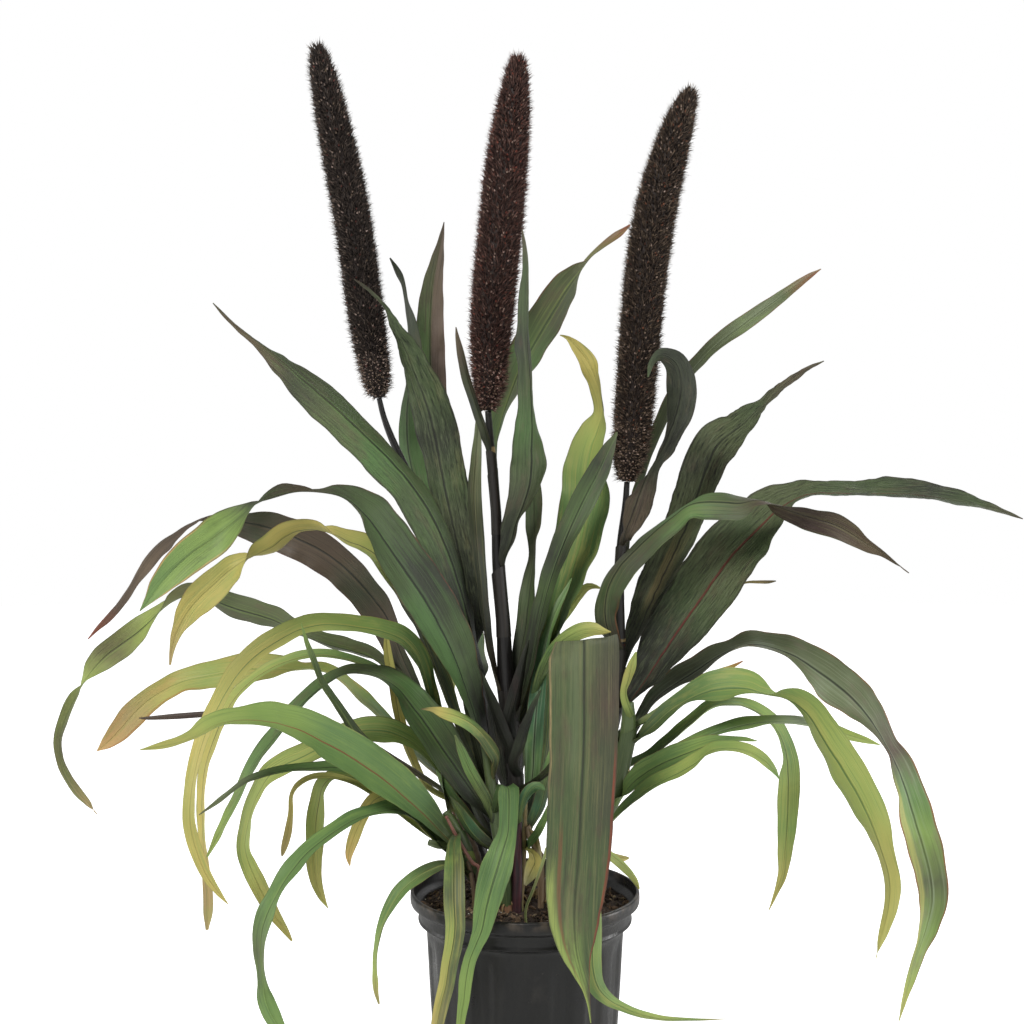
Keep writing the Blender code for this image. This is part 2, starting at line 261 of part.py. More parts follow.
TONES = {
    "pot": ((0.022, 0.022, 0.021), 0.48),
    "soil": ((0.024, 0.016, 0.011), 0.95),
    "culm": ((0.018, 0.013, 0.012), 0.40),
    "sheath": ((0.085, 0.060, 0.035), 0.50),
    "spike": ((0.022, 0.012, 0.010), 0.85),
    "dark": ((0.045, 0.068, 0.030), 0.45),
    "purple": ((0.060, 0.045, 0.032), 0.45),
    "green": ((0.085, 0.160, 0.042), 0.45),
    "wide": ((0.095, 0.135, 0.050), 0.45),
    "light": ((0.200, 0.290, 0.080), 0.50),
    "yellow": ((0.330, 0.300, 0.075), 0.55),
}


# ------------------------------------------------------------------ helpers
def lerp_list(vals, u):
    """Value of an evenly spaced list at u from 0 to 1."""
    f = u * (len(vals) - 1)
    i = min(int(f), len(vals) - 2)
    return vals[i] + (vals[i + 1] - vals[i]) * (f - i)


def catmull(p, t):
    """Point of a centripetal-free Catmull-Rom curve through p at t (0..n-1)."""
    n = len(p)
    i = min(int(t), n - 2)
    f = t - i
    a = p[i - 1] if i > 0 else p[0] * 2 - p[1]
    b, c = p[i], p[i + 1]
    d = p[i + 2] if i + 2 < n else p[-1] * 2 - p[-2]
    return (b * 2 + (c - a) * f + (a * 2 - b * 5 + c * 4 - d) * f * f
            + (b * 3 - a - c * 3 + d) * f * f * f) * 0.5


def collection(name):
    coll = bpy.data.collections.new(name)
    bpy.context.scene.collection.children.link(coll)
    return coll


def material(name, tone):
    color, rough = TONES[tone]
    mat = bpy.data.materials.new("mat_" + name)
    mat.use_nodes = True
    bsdf = mat.node_tree.nodes["Principled BSDF"]
    bsdf.inputs["Base Color"].default_value = (*color, 1.0)
    bsdf.inputs["Roughness"].default_value = rough
    bsdf.inputs["Metallic"].default_value = 0.0
    return mat


def place(name, mesh, tone, coll, smooth=True):
    obj = bpy.data.objects.new(name, mesh)
    coll.objects.link(obj)
    if tone:
        mesh.materials.append(material(name, tone))
    if smooth and hasattr(mesh, "shade_smooth"):
        mesh.shade_smooth()
        mesh.set_sharp_from_angle(angle=math.radians(38))
    return obj


def turned(name, profile, tone, coll, sides):
    """A profile (radius, height in mm) turned about the pot's axis."""
    bm = bmesh.new()
    verts = [bm.verts.new((r * MM, 0.0, z * MM)) for r, z in profile]
    for a, b in zip(verts, verts[1:]):
        bm.edges.new((a, b))
    mesh = bpy.data.meshes.new(name)
    bm.to_mesh(mesh)
    bm.free()
    obj = place(name, mesh, tone, coll, smooth=False)
    screw = obj.modifiers.new("turn", "SCREW")
    screw.axis = "Z"
    screw.angle = math.tau
    screw.steps = sides
    screw.render_steps = sides
    screw.use_merge_vertices = True
    screw.merge_threshold = 0.00001
    screw.use_smooth_shade = True
    return obj


def rod(name, pts, radii, tone, coll, sides_res):
    """A stem or spike: a bevelled curve through pts (mm) with a radius each."""
    curve = bpy.data.curves.new(name, "CURVE")
    curve.dimensions = "3D"
    curve.bevel_depth = 1.0 * MM
    curve.bevel_resolution = sides_res
    curve.use_fill_caps = True
    curve.resolution_u = 1
    sp = curve.splines.new("POLY")
    sp.points.add(len(pts) - 1)
    for p, q, r in zip(sp.points, pts, radii):
        p.co = (*(q * MM), 1.0)
        p.radius = r
    obj = bpy.data.objects.new(name, curve)
    coll.objects.link(obj)
    curve.materials.append(material(name, tone))
    return obj


# -------------------------------------------------------------------- stems
def stem_course(spec):
    """Centre line (mm) from the top to the foot, with its radii."""
    pts = [at(*p) for p in spec["pts"]]
    fx, fy = spec["foot"]
    foot = Vector((fx, fy, SOIL_Z + GAP))
    pts += [foot + Vector((0.0, 0.0, 7.0)), foot]
    radii = list(spec["r"])
    while len(radii) < len(pts):
        radii.append(radii[-1])
    return pts, radii[:len(pts)]


def stem_at(spec, y):
    """Centre, direction and radius of a stem at a height on the elevation."""
    pts, radii = stem_course(spec)
    ys = [p[1] for p in spec["pts"]]
    for foot in pts[-2:]:
        s = SQUARE * (STAND_D + foot.y) / STAND_D
        ys.append(MID - (foot.z - EYE_Z) / s)
    for i in range(len(ys) - 1):
        if y <= ys[i + 1] or i == len(ys) - 2:
            f = max(0.0, min(1.0, (y - ys[i]) / (ys[i + 1] - ys[i])))
            return (pts[i].lerp(pts[i + 1], f), (pts[i] - pts[i + 1]).normalized(),
                    radii[i] + (radii[i + 1] - radii[i]) * f)


# ------------------------------------------------------------------- leaves
def leaf_stations(spec):
    """Centre, width direction and width at each station, collar first."""
    raw = spec["pts"]
    run = [0.0]
    for a, b in zip(raw, raw[1:]):
        run.append(run[-1] + math.hypot(b[0] - a[0], b[1] - a[1]))
    total = run[-1]
    cen, shown, us = [], [], []
    for (x, y, a), s in zip(raw, run):
        u = s / total
        p = at(x, y, lerp_list(spec["behind"], u))
        cen.append(p)
        shown.append(a * SQUARE * (STAND_D + p.y) / STAND_D)
        us.append(u)
    cen.reverse()
    shown.reverse()
    us.reverse()
    stem, y, deg = spec["on"]
    c, up, r = stem_at(STEMS[stem], y)
    out = Vector((math.cos(math.radians(deg)), math.sin(math.radians(deg)), 0.0))
    out = (out - up * out.dot(up)).normalized()
    cen[0] = c + out * (r * 1.03 + LEAF_T * 0.5 + 0.5)
    n = len(cen)
    tan = []
    for i in range(n):
        a, b = cen[max(i - 1, 0)], cen[min(i + 1, n - 1)]
        tan.append((b - a).normalized())
    dirs, widths = [], []
    ref = Vector(spec["across"]) if "across" in spec else None
    for i in range(n):
        t, a, u = tan[i], shown[i], us[i]
        grow = 1.0 - (1.0 - min(u / 0.42, 1.0)) ** 1.7
        neck = 1.0 - 0.72 * max(0.0, min(1.0, (u - 0.78) / 0.22)) ** 1.3
        w = max(abs(a), spec["W"] * grow * neck, 1.2)
        w = min(w, max(abs(a) * 3.2, abs(a) + 6.0))
        if ref is not None:
            side = (ref - t * ref.dot(t)).normalized()
            if i > 0 and side.dot(dirs[-1]) < 0:
                side = -side
        else:
            d = sight(cen[i])
            nrm = d.cross(t)
            nrm.normalize()
            bck = t.cross(nrm)
            side = (nrm * a + bck * spec["turn"] * math.sqrt(max(w * w - a * a, 0.0))).normalized()
        dirs.append(side)
        widths.append(w)
    # at the collar the blade lies against its stem
    tang = out.cross(up).normalized()
    if tang.dot(dirs[1]) < 0:
        tang = -tang
    dirs[0] = tang
    widths[0] = COLLAR_W
    return cen, dirs, widths


def leaf_mesh(name, spec):
    cen, dirs, widths = leaf_stations(spec)
    n = len(cen)
    segs = max(8, min(13, int(n * 0.8)))
    wide = spec["W"] >= 20
    bm = bmesh.new()
    rows = []
    for k in range(segs + 1):
        t = (n - 1) * k / segs
        i = min(int(t), n - 2)
        f = t - i
        p = catmull(cen, t)
        a = catmull(cen, max(t - 0.05, 0.0))
        b = catmull(cen, min(t + 0.05, n - 1.0))
        tan = (b - a).normalized()
        side = dirs[i].lerp(dirs[i + 1], f)
        side = (side - tan * side.dot(tan)).normalized()
        w = widths[i] + (widths[i + 1] - widths[i]) * f
        face = tan.cross(side)
        fold = face * (0.10 * w)
        offs = (-0.5, 0.0, 0.5) if wide else (-0.5, 0.5)
        rows.append([bm.verts.new((p + side * (w * o) + (fold * (abs(o) - 0.25) if wide else fold * 0.0)) * MM)
                     for o in offs])
    for r0, r1 in zip(rows, rows[1:]):
        for j in range(len(r0) - 1):
            bm.faces.new((r0[j], r0[j + 1], r1[j + 1], r1[j]))
    mesh = bpy.data.meshes.new(name)
    bm.to_mesh(mesh)
    bm.free()
    return mesh


def leaf(name, spec, coll):
    obj = place(name, leaf_mesh(name, spec), spec["tone"], coll)
    solid = obj.modifiers.new("thickness", "SOLIDIFY")
    solid.thickness = LEAF_T * MM
    solid.offset = 0.0
    solid.use_rim = True
    return obj


# ---------------------------------------------------------------------- pot
def pot_profile():
    """Closed profile: down the outside, across the foot, up the inside."""
    rim, tier, top, base = RIM_D / 2, TIER_D / 2, WALL_TOP_D / 2, BASE_D / 2
    t = WALL
    outer = [(rim - 2.2, POT_H), (rim - 0.7, POT_H - 0.4), (rim, POT_H - 1.6), (rim, POT_H - 8.0),
             (rim - 1.0, POT_H - 9.4), (tier + 0.6, POT_H - 12.4), (tier, POT_H - 13.6),
             (tier - 0.7, POT_H - 21.6), (tier - 1.6, POT_H - 22.6), (top + 0.8, POT_H - 28.0),
             (top, POT_H - 30.0), (base + 0.6, 4.0), (base, 1.2), (base - 1.4, 0.0)]
    inner = [(0.0, 2.2), (base - t - 1.6, 2.2), (base - t, 4.6), (top - t, POT_H - 30.4),
             (top + 0.8 - t, POT_H - 28.4), (tier - 1.8 - t, POT_H - 23.2), (tier - 0.9 - t, POT_H - 21.8),
             (tier - 0.2 - t, POT_H - 13.2), (tier + 0.6 - t, POT_H - 11.8), (rim - 1.8 - t, POT_H - 9.0),
             (rim - 1.0 - t, POT_H - 7.6), (rim - 1.0 - t, POT_H - 1.0)]
    return outer + [(0.0, 0.0)], inner


def build_pot(coll, cutters):
    outer, inner = pot_profile()
    pot = turned("nursery_pot", outer + inner + [outer[0]], "pot", coll, POT_SIDES)
    # drain holes: round ones through the foot near its edge
    for k in range(6):
        a = math.radians(60 * k + 30)
        bm = bmesh.new()
        bmesh.ops.create_cone(bm, cap_ends=True, segments=12, radius1=6.0 * MM, radius2=6.0 * MM, depth=10.0 * MM)
        mesh = bpy.data.meshes.new("drain_cutter_%d" % k)
        bm.to_mesh(mesh)
        bm.free()
        cut = bpy.data.objects.new("drain_cutter_%d" % k, mesh)
        cut.location = (50.0 * MM * math.cos(a), 50.0 * MM * math.sin(a), 1.0 * MM)
        cut.hide_render = True
        cut.display_type = "WIRE"
        cutters.objects.link(cut)
        mod = pot.modifiers.new("drain_%d" % k, "BOOLEAN")
        mod.operation = "DIFFERENCE"
        mod.solver = "EXACT"
        mod.object = cut
    return pot


def build_soil(coll):
    _, inner = pot_profile()
    g = GAP
    base_r, base_z = inner[1]
    wall = [(r - g, z) for r, z in inner[2:] if z < SOIL_Z - 2.0]
    top_r = wall[-1][0] + 0.4
    prof = [(0.0, SOIL_Z), (top_r - 6.0, SOIL_Z), (top_r, SOIL_Z - 1.4)]
    prof += list(reversed(wall)) + [(base_r - g, base_z + g), (0.0, base_z + g)]
    return turned("potting_mix", prof, "soil", coll, POT_SIDES)


def main():
    for obj in list(bpy.data.objects):
        bpy.data.objects.remove(obj, do_unlink=True)
    parts = collection(COLLECTION)
    cutters = collection("cutters")
    build_pot(parts, cutters)
    build_soil(parts)
    for name, spec in STEMS.items():
        pts, radii = stem_course(spec)
        rod(name, pts, radii, spec["tone"], parts, 2)
    for name, spec in SPIKES.items():
        pts = [at(x, y, b) for x, y, b, _ in spec["pts"]]
        # the butt of the spike stops just short of the stem that carries it
        top = stem_course(STEMS[spec["stem"]])[0][0]
        axis = (pts[-2] - top).normalized()
        pts[-1] = top + axis * 0.5
        rod(name, pts, [r for *_, r in spec["pts"]], spec["tone"], parts, 4)
    for name, spec in LEAVES.items():
        leaf(name, spec, parts)


main()
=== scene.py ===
"""Looks of the potted ornamental millet: pot, potting mix, stems, seed heads and
leaves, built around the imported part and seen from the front."""

import math
import random

import bmesh
import bpy
import numpy as np
from mathutils import Matrix, Vector, noise


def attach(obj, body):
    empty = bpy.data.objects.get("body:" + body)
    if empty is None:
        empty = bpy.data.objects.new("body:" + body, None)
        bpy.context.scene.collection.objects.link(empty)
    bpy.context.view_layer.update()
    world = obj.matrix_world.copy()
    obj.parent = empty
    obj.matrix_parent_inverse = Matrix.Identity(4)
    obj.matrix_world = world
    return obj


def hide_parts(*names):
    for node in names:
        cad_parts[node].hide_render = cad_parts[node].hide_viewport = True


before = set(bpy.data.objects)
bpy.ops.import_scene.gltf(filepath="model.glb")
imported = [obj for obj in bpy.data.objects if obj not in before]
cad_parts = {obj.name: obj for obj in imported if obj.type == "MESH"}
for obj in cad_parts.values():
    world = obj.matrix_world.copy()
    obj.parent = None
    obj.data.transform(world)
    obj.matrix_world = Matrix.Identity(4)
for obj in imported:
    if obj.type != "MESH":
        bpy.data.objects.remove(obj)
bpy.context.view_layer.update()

# ------------------------------------------------- the front elevation's rule
MM = 0.001
RIM_D, POT_H, TIER_D, WALL_TOP_D, BASE_D, WALL = 178.0, 175.0, 165.4, 153.2, 134.8, 1.6
SOIL_Z, GAP = 161.5, 0.35
SQUARE, STAND_D, EYE_X, EYE_Z, MID = 0.78, 1020.6, -10.14, 468.0, 512.0


def at(x, y, behind):
    """World position (mm) of a point of the elevation at a depth."""
    s = SQUARE * (STAND_D + behind) / STAND_D
    return Vector((EYE_X + (x - MID) * s, behind, EYE_Z + (MID - y) * s))


def sight(p):
    """Unit line of sight from the standpoint to a point (mm)."""
    return (p - Vector((EYE_X, -STAND_D, EYE_Z))).normalized()


# ---------------------------------------------------------------- the stems
# Each stem: points (across, down, behind) on the front elevation from the
# flower or collar at its top down towards the soil, then its foot on the
# soil (X mm, Y mm) and its radii in mm from the top to the foot.
STEMS = {
    "culm_centre": dict(
        pts=[(488, 411, 0), (491, 452, 0), (496, 512, 0), (498, 567, 0),
             (503, 620, 0), (506, 680, 0), (512, 740, 0), (517, 800, 0), (519, 850, 0)],
        foot=(-7.8, 1.0), r=[2.4, 3.2, 3.9, 4.4, 5.2, 6.6, 7.0, 5.6, 4.6, 4.6], tone="culm"),
    "culm_left": dict(
        pts=[(379, 398, 6), (384, 418, 8), (393, 441, 11), (410, 478, 18), (431, 525, 28),
             (452, 580, 36), (468, 640, 38), (480, 700, 36), (489, 760, 32), (496, 830, 25)],
        foot=(-19.0, 17.0), r=[2.0, 2.3, 2.8, 3.4, 3.8, 4.4, 5.0, 5.4, 5.4, 4.8, 4.6], tone="culm"),
    "culm_right": dict(
        pts=[(627, 482, 10), (625, 510, 13), (621, 545, 17), (618, 590, 21), (619, 640, 25),
             (617, 700, 28), (603, 760, 28), (580, 820, 24), (558, 870, 19)],
        foot=(15.0, 16.0), r=[2.2, 2.8, 3.4, 4.2, 5.0, 5.6, 5.4, 5.0, 4.6, 4.6], tone="culm"),
    "tiller_left_low": dict(
        pts=[(446, 812, -12), (455, 828, -11), (464, 848, -9), (473, 868, -6)],
        foot=(-32.0, -3.0), r=[3.0, 4.6, 5.6, 5.4, 5.0], tone="sheath"),
    "tiller_left_mid": dict(
        pts=[(428, 690, 44), (442, 720, 45), (457, 765, 46), (470, 815, 42), (480, 850, 38)],
        foot=(-27.0, 35.0), r=[2.6, 3.8, 4.6, 5.0, 5.0, 5.0], tone="culm"),
    "tiller_front": dict(
        pts=[(482, 738, -14), (487, 762, -16), (492, 795, -18), (498, 830, -19), (504, 866, -19)],
        foot=(-14.0, -18.0), r=[2.2, 3.2, 3.8, 4.2, 4.4, 4.4], tone="sheath"),
    "tiller_right": dict(
        pts=[(628, 702, -4), (628, 730, -6), (620, 775, -8), (603, 825, -9), (580, 866, -9)],
        foot=(23.0, -9.0), r=[4.6, 6.2, 6.0, 5.2, 5.0, 5.0], tone="sheath"),
    "tiller_right_low": dict(
        pts=[(607, 818, -38), (600, 832, -37), (588, 854, -34), (576, 876, -31)],
        foot=(33.0, -28.0), r=[3.0, 4.4, 4.6, 4.4, 4.2], tone="sheath"),
}

# --------------------------------------------------------------- the spikes
# (across, down, behind, half-width in mm) from the tip to the butt.
SPIKES = {
    "spike_left": dict(stem="culm_left", tone="spike", pts=[
        (317, 47, 0, 4.0), (319, 56, 0, 8.0), (324, 80, 0, 11.5), (331, 112, 0, 13.6), (341, 160, 1, 15.2),
        (350, 205, 2, 15.6), (357, 250, 3, 15.7), (363, 295, 4, 15.5), (369, 335, 5, 14.8), (374, 365, 5, 13.6),
        (377, 385, 6, 11.6), (378, 394, 6, 7.5)]),
    "spike_centre": dict(stem="culm_centre", tone="spike", pts=[
        (517, 58, -3, 4.5), (517, 68, -3, 8.6), (515, 90, -3, 12.2), (511, 125, -2, 15.6), (506, 170, -2, 17.6),
        (501, 220, -1, 18.4), (496, 270, -1, 18.4), (492, 315, 0, 17.8), (490, 350, 0, 16.6), (489, 380, 0, 14.6),
        (488, 398, 0, 11.5), (488, 407, 0, 7.5)]),
    "spike_right": dict(stem="culm_right", tone="spike", pts=[
        (691, 91, 2, 4.5), (687, 101, 2, 8.6), (679, 124, 2, 12.6), (668, 160, 3, 15.6), (658, 200, 4, 17.2),
        (649, 250, 5, 17.8), (643, 300, 6, 17.6), (639, 350, 7, 17.2), (635, 395, 8, 16.6), (632, 435, 9, 16.0),
        (629, 462, 10, 13.6), (628, 478, 10, 8.0)]),
}

# --------------------------------------------------------------- the leaves
# on     = the stem that carries the leaf, and the height on the elevation of
#          its collar, and the side of the stem it leaves by (degrees: 0 right,
#          90 back, 180 left, -90 front)
# W      = full width of the blade in mm
# turn   = which margin lies further back
# behind = depth behind the pot's axis in mm, evenly spaced from tip to collar
# pts    = (across, down, shown width) from the tip to the collar; a change of
#          sign in the shown width is a twist
LEAVES = {
    "leaf_left_high_1": dict(on=("culm_left", 702, -110), W=38, turn=1, behind=(-95, -80, -58, -42, -28, -8, 26), tone="dark", pts=[
        (213, 303, 1), (230, 320, 3), (248, 335, 5), (265, 348, 9), (283, 363, 19), (303, 381, 29), (328, 402, 36),
        (366, 438, 34), (402, 475, 34), (430, 515, 34), (450, 560, 32), (465, 610, 26), (476, 660, 16), (480, 702, 8)]),
    "leaf_left_high_2": dict(on=("culm_left", 655, -75), W=36, turn=-1, behind=(-28, -16, -2, 6, 12, 16, 26), tone="purple", pts=[
        (354, 279, 1), (370, 292, 3), (386, 309, 4), (394, 328, 11), (404, 345, 20), (412, 365, 26), (420, 385, 34), (427, 405, 40),
        (434, 430, 42), (440, 460, 40), (446, 490, 38), (455, 530, 34), (464, 570, 28), (470, 610, 20), (473, 655, 8)]),
    "leaf_left_high_3": dict(on=("culm_left", 640, 60), W=27, turn=1, behind=(78, 74, 70, 68, 64, 58, 48), tone="purple", pts=[
        (444, 222, 1), (441, 240, 6), (437, 262, 14), (433, 283, 20), (431, 305, 25), (430, 330, 28), (430, 360, 28),
        (431, 390, 27), (434, 430, 26), (440, 480, 24), (450, 540, 22), (462, 600, 14), (470, 640, 7)]),
    "leaf_left_high_4": dict(on=("culm_left", 585, 150), W=24, turn=-1, behind=(36, 40, 46, 50, 50, 48, 44), tone="dark", pts=[
        (390, 258, 1.5), (397, 270, 6), (402, 283, 4), (405, 300, 4), (409, 320, 9), (412, 345, 14), (411, 380, 16), (408, 410, 20),
        (408, 440, 24), (413, 470, 24), (424, 505, 20), (437, 545, 14), (450, 585, 6)]),
    "leaf_centre_top": dict(on=("culm_centre", 452, -130), W=9, turn=1, behind=(-30, -24, -18, -10, -6), tone="dark", pts=[
        (456, 327, 1), (458, 340, 5), (462, 358, 8), (467, 378, 9), (473, 397, 9), (479, 415, 9), (485, 432, 8), (489, 452, 6)]),
    "leaf_centre_strip": dict(on=("culm_centre", 690, 180), W=13, turn=1, behind=(10, 0, -6, -10, -8, -2), tone="green", pts=[
        (478, 405, 1.5), (478, 430, 7), (476, 460, 11), (474, 490, 14), (475, 520, 14), (478, 560, 12), (482, 600, 10), (487, 640, 8),
        (494, 690, 6)]),
    "leaf_centre_twist": dict(on=("culm_centre", 567, 0), W=30, turn=1, behind=(-44, -36, -30, -24, -14, -4), tone="dark", pts=[
        (522, 229, 1), (525, 245, 4), (527, 265, 6), (527, 290, 9), (526, 320, 11), (527, 350, 14), (529, 375, 15), (530, 400, 15),
        (531, 425, 21), (531, 450, 32), (531, 466, 36), (529, 485, 31), (523, 503, 24), (515, 523, 14), (511, 540, 14), (506, 555, 9), (502, 567, 5)]),
    "leaf_centre_back": dict(on=("culm_centre", 700, 20), W=16, turn=-1, behind=(10, 10, 10, 8, 5, 2), tone="dark", pts=[
        (531, 455, 2), (533, 475, 13), (534, 500, 17), (534, 520, 16), (534, 541, 7), (534, 557, 6), (531, 580, 13), (528, 605, 17), (525, 630, 16),
        (519, 660, 12), (513, 700, 6)]),
    "leaf_centre_right_high": dict(on=("culm_centre", 470, 30), W=33, turn=-1, behind=(44, 42, 40, 36, 30, 22, 6), tone="green", pts=[
        (630, 225, 2), (612, 240, 7), (598, 251, 5), (590, 258, 2.5), (578, 273, -14), (566, 290, -28), (555, 308, -34), (543, 328, -36), (530, 350, -34),
        (518, 373, -28), (509, 395, -22), (501, 418, -15), (496, 442, -9), (495, 470, -5)]),
    "leaf_centre_right_yellow": dict(on=("culm_centre", 745, 40), W=42, turn=-1, behind=(30, 26, 26, 26, 24, 20, 14, 6), tone="light", pts=[
        (560, 335, 1), (568, 338, 4), (577, 347, 12), (587, 360, 17), (595, 378, 13), (600, 395, 9), (602, 412, 10), (597, 430, 24), (590, 450, 34),
        (587, 475, 44), (587, 500, 50), (580, 540, 46), (571, 572, 40), (561, 605, 32), (550, 645, 24), (538, 690, 14), (521, 745, 6)]),
    "leaf_centre_right_dark": dict(on=("culm_centre", 722, -30), W=20, turn=-1, behind=(-2, -4, -6, -8, -9, -8), tone="dark", pts=[
        (617, 432, 2), (608, 450, 14), (599, 470, 22), (586, 495, 25), (574, 520, 23), (562, 548, 20), (553, 572, 18), (545, 600, 16),
        (538, 630, 14), (531, 665, 12), (523, 695, 9), (519, 722, 6)]),
    "leaf_centre_blue": dict(on=("culm_centre", 812, -20), W=14, turn=-1, behind=(-12, -12, -10, -8, -5, -3), tone="green", pts=[
        (572, 578, 1), (564, 592, 5), (556, 608, 8), (549, 628, 8), (543, 648, 9), (540, 668, 12), (537, 690, 15), (534, 715, 15), (532, 745, 16),
        (532, 770, 13), (529, 792, 8), (522, 812, 6)]),
    "leaf_centre_small": dict(on=("culm_centre", 775, -60), W=14, turn=1, behind=(-62, -56, -46, -34, -22, -9), tone="green", pts=[
        (611, 632, 1), (602, 631, 8), (592, 629, 15), (578, 632, 17), (560, 643, 13), (546, 664, 11), (536, 695, 9), (527, 735, 7), (519, 775, 5)]),
    "leaf_front_fold": dict(on=("culm_centre", 790, -85), W=50, turn=1, across=(1.0, -0.12, 0.0), tone="wide",
        behind=(-124, -124, -124, -123, -122, -119, -115, -108, -60, -12), pts=[
        (591, 1023, 1), (586, 994, 4), (582, 978, 12), (577, 962, 24), (573, 945, 36), (572, 925, 46), (573, 900, 56), (576, 870, 62), (578, 840, 65), (580, 800, 66),
        (582, 760, 67), (583, 720, 68), (584, 680, 70), (584, 652, 70), (582, 645, 66), (570, 658, 50), (551, 700, 30), (533, 745, 14), (519, 790, 6)]),
    "leaf_front_curl": dict(on=("tiller_right_low", 836, -120), W=22, turn=1, across=(0.9, 0.3, 0.0), tone="light",
        behind=(-66, -82, -98, -106, -107, -106, -98, -40), pts=[
        (726, 1019, 1), (700, 1020, 4), (665, 1019, 7), (640, 1014, 8), (622, 1007, 9), (608, 999, 13), (597, 986, 18), (592, 965, 24), (592, 940, 25),
        (591, 905, 24), (588, 872, 18), (588, 850, 10), (596, 838, 6)]),
    "leaf_right_flag": dict(on=("culm_right", 545, -70), W=26, turn=-1, behind=(-22, -18, -14, -10, -8, -6, 4), tone="dark", pts=[
        (648, 377, 1.5), (652, 363, 6), (662, 355, 14), (676, 364, 24), (681, 383, 30), (679, 405, 28), (672, 428, 20), (664, 447, 14), (655, 463, 8),
        (648, 476, 10), (642, 490, 20), (636, 506, 28), (631, 520, 22), (625, 535, 10), (622, 545, 4)]),
    "leaf_right_high_1": dict(on=("culm_right", 575, 60), W=18, turn=-1, behind=(110, 92, 72, 52, 38, 26), tone="green", pts=[
        (821, 269, 1), (808, 277, 6), (794, 287, 9), (778, 299, 12), (760, 312, 15), (740, 327, 16), (720, 342, 15), (700, 362, 13), (684, 382, 12),
        (672, 402, 12), (660, 430, 12), (650, 455, 10), (640, 490, 8), (630, 530, 7), (622, 575, 5)]),
    "leaf_right_high_2": dict(on=("culm_right", 668, 30), W=38, turn=-1, behind=(70, 62, 54, 46, 40, 36, 30), tone="dark", pts=[
        (824, 361, 1), (808, 369, 4), (793, 380, 7), (777, 392, 8), (766, 403, 8), (755, 412, 17), (742, 425, 27), (728, 435, 38), (716, 447, 44),
        (707, 465, 42), (700, 485, 40), (692, 510, 38), (682, 535, 36), (668, 565, 34), (654, 595, 30), (641, 625, 20), (630, 650, 12), (624, 668, 6)]),
    "leaf_right_purple": dict(on=("culm_right", 650, -100), W=28, turn=-1, behind=(-90, -66, -46, -30, -20, -12, -6, 6), tone="purple", pts=[
        (909, 573, 1), (895, 562, -3), (882, 552, -6), (868, 545, -13), (852, 534, -21), (835, 525, -25), (815, 519, -22), (795, 513, -17), (775, 506, -10),
        (758, 501, 6), (740, 504, 24), (722, 503, 29), (703, 503, 25), (688, 507, 15), (672, 519, 17), (655, 533, 20), (638, 550, 20), (625, 568, 19),
        (614, 592, 20), (611, 622, 14), (614, 650, 6)]),
    "leaf_right_big": dict(on=("culm_right", 712, -30), W=53, turn=-1, behind=(-60, -44, -24, -4, 8, 14, 18, 20), tone="dark", pts=[
        (1023, 519, 1), (1005, 513, 5), (985, 507, 9), (960, 501, 15), (930, 496, 20), (900, 493, 22), (870, 493, 20), (840, 493, 17), (815, 493, 14),
        (798, 497, 20), (782, 506, 34), (766, 520, 46), (748, 538, 56), (731, 556, 60), (715, 578, 62), (698, 602, 61), (682, 624, 58), (668, 645, 48),
        (653, 668, 36), (641, 686, 22), (631, 700, 12), (624, 712, 7)]),
    "leaf_right_arch_1": dict(on=("tiller_right", 738, 70), W=35, turn=-1, behind=(10, 30, 52, 66, 72, 70, 60, 44, 8), tone="dark", pts=[
        (899, 1021, 1), (904, 1000, 5), (911, 975, 9), (919, 950, 11), (927, 925, 20), (932, 900, 27), (930, 875, 32), (924, 850, 34), (915, 820, 33),
        (906, 790, 29), (897, 766, 22), (889, 750, 14), (880, 734, 16), (868, 716, 28), (852, 698, 38), (834, 683, 42), (815, 669, 36), (797, 657, 26),
        (778, 649, 18), (757, 644, 16), (738, 647, 11), (718, 656, 14), (700, 668, 20), (680, 681, 20), (662, 693, 15), (649, 707, 10), (640, 722, 8), (633, 738, 6)]),
    "leaf_right_arch_2": dict(on=("tiller_right", 742, -10), W=33, turn=-1, behind=(-130, -122, -106, -84, -62, -44, -28, -16, -8), tone="light", pts=[
        (876, 958, 1), (879, 945, -5), (884, 928, -10), (889, 905, -14), (890, 880, -16), (883, 853, -19), (874, 828, -26), (861, 800, -34), (845, 772, -35),
        (826, 742, -30), (812, 718, -26), (798, 704, -19), (784, 697, -9), (772, 695, 3), (760, 692, 14), (745, 688, 28), (728, 688, 34), (712, 690, 29),
        (698, 695, 19), (684, 702, 14), (668, 713, 16), (652, 728, 14), (638, 742, 6)]),
    "leaf_right_small": dict(on=("tiller_right", 728, 30), W=12, turn=-1, behind=(20, 14, 8, 2, -2), tone="light", pts=[
        (743, 661, 1), (732, 667, 4), (718, 674, 7), (702, 684, 9), (688, 695, 10), (672, 706, 10), (655, 716, 9), (638, 728, 6)]),
    "leaf_right_droop_1": dict(on=("tiller_right", 768, 55), W=20, turn=-1, behind=(58, 56, 50, 42, 30, 16, 4), tone="green", pts=[
        (769, 910, 1), (775, 895, 4), (782, 875, 9), (785, 850, 15), (787, 825, 19), (788, 800, 22), (788, 775, 20), (786, 752, 14), (779, 733, 11),
        (768, 719, 10), (752, 709, 9), (735, 704, 9), (715, 706, 8), (700, 715, 8), (685, 728, 9), (668, 742, 9), (650, 755, 8), (632, 768, 5)]),
    "leaf_right_low_1": dict(on=("tiller_right", 786, -5), W=16, turn=-1, behind=(-40, -30, -20, -14, -8), tone="green", pts=[
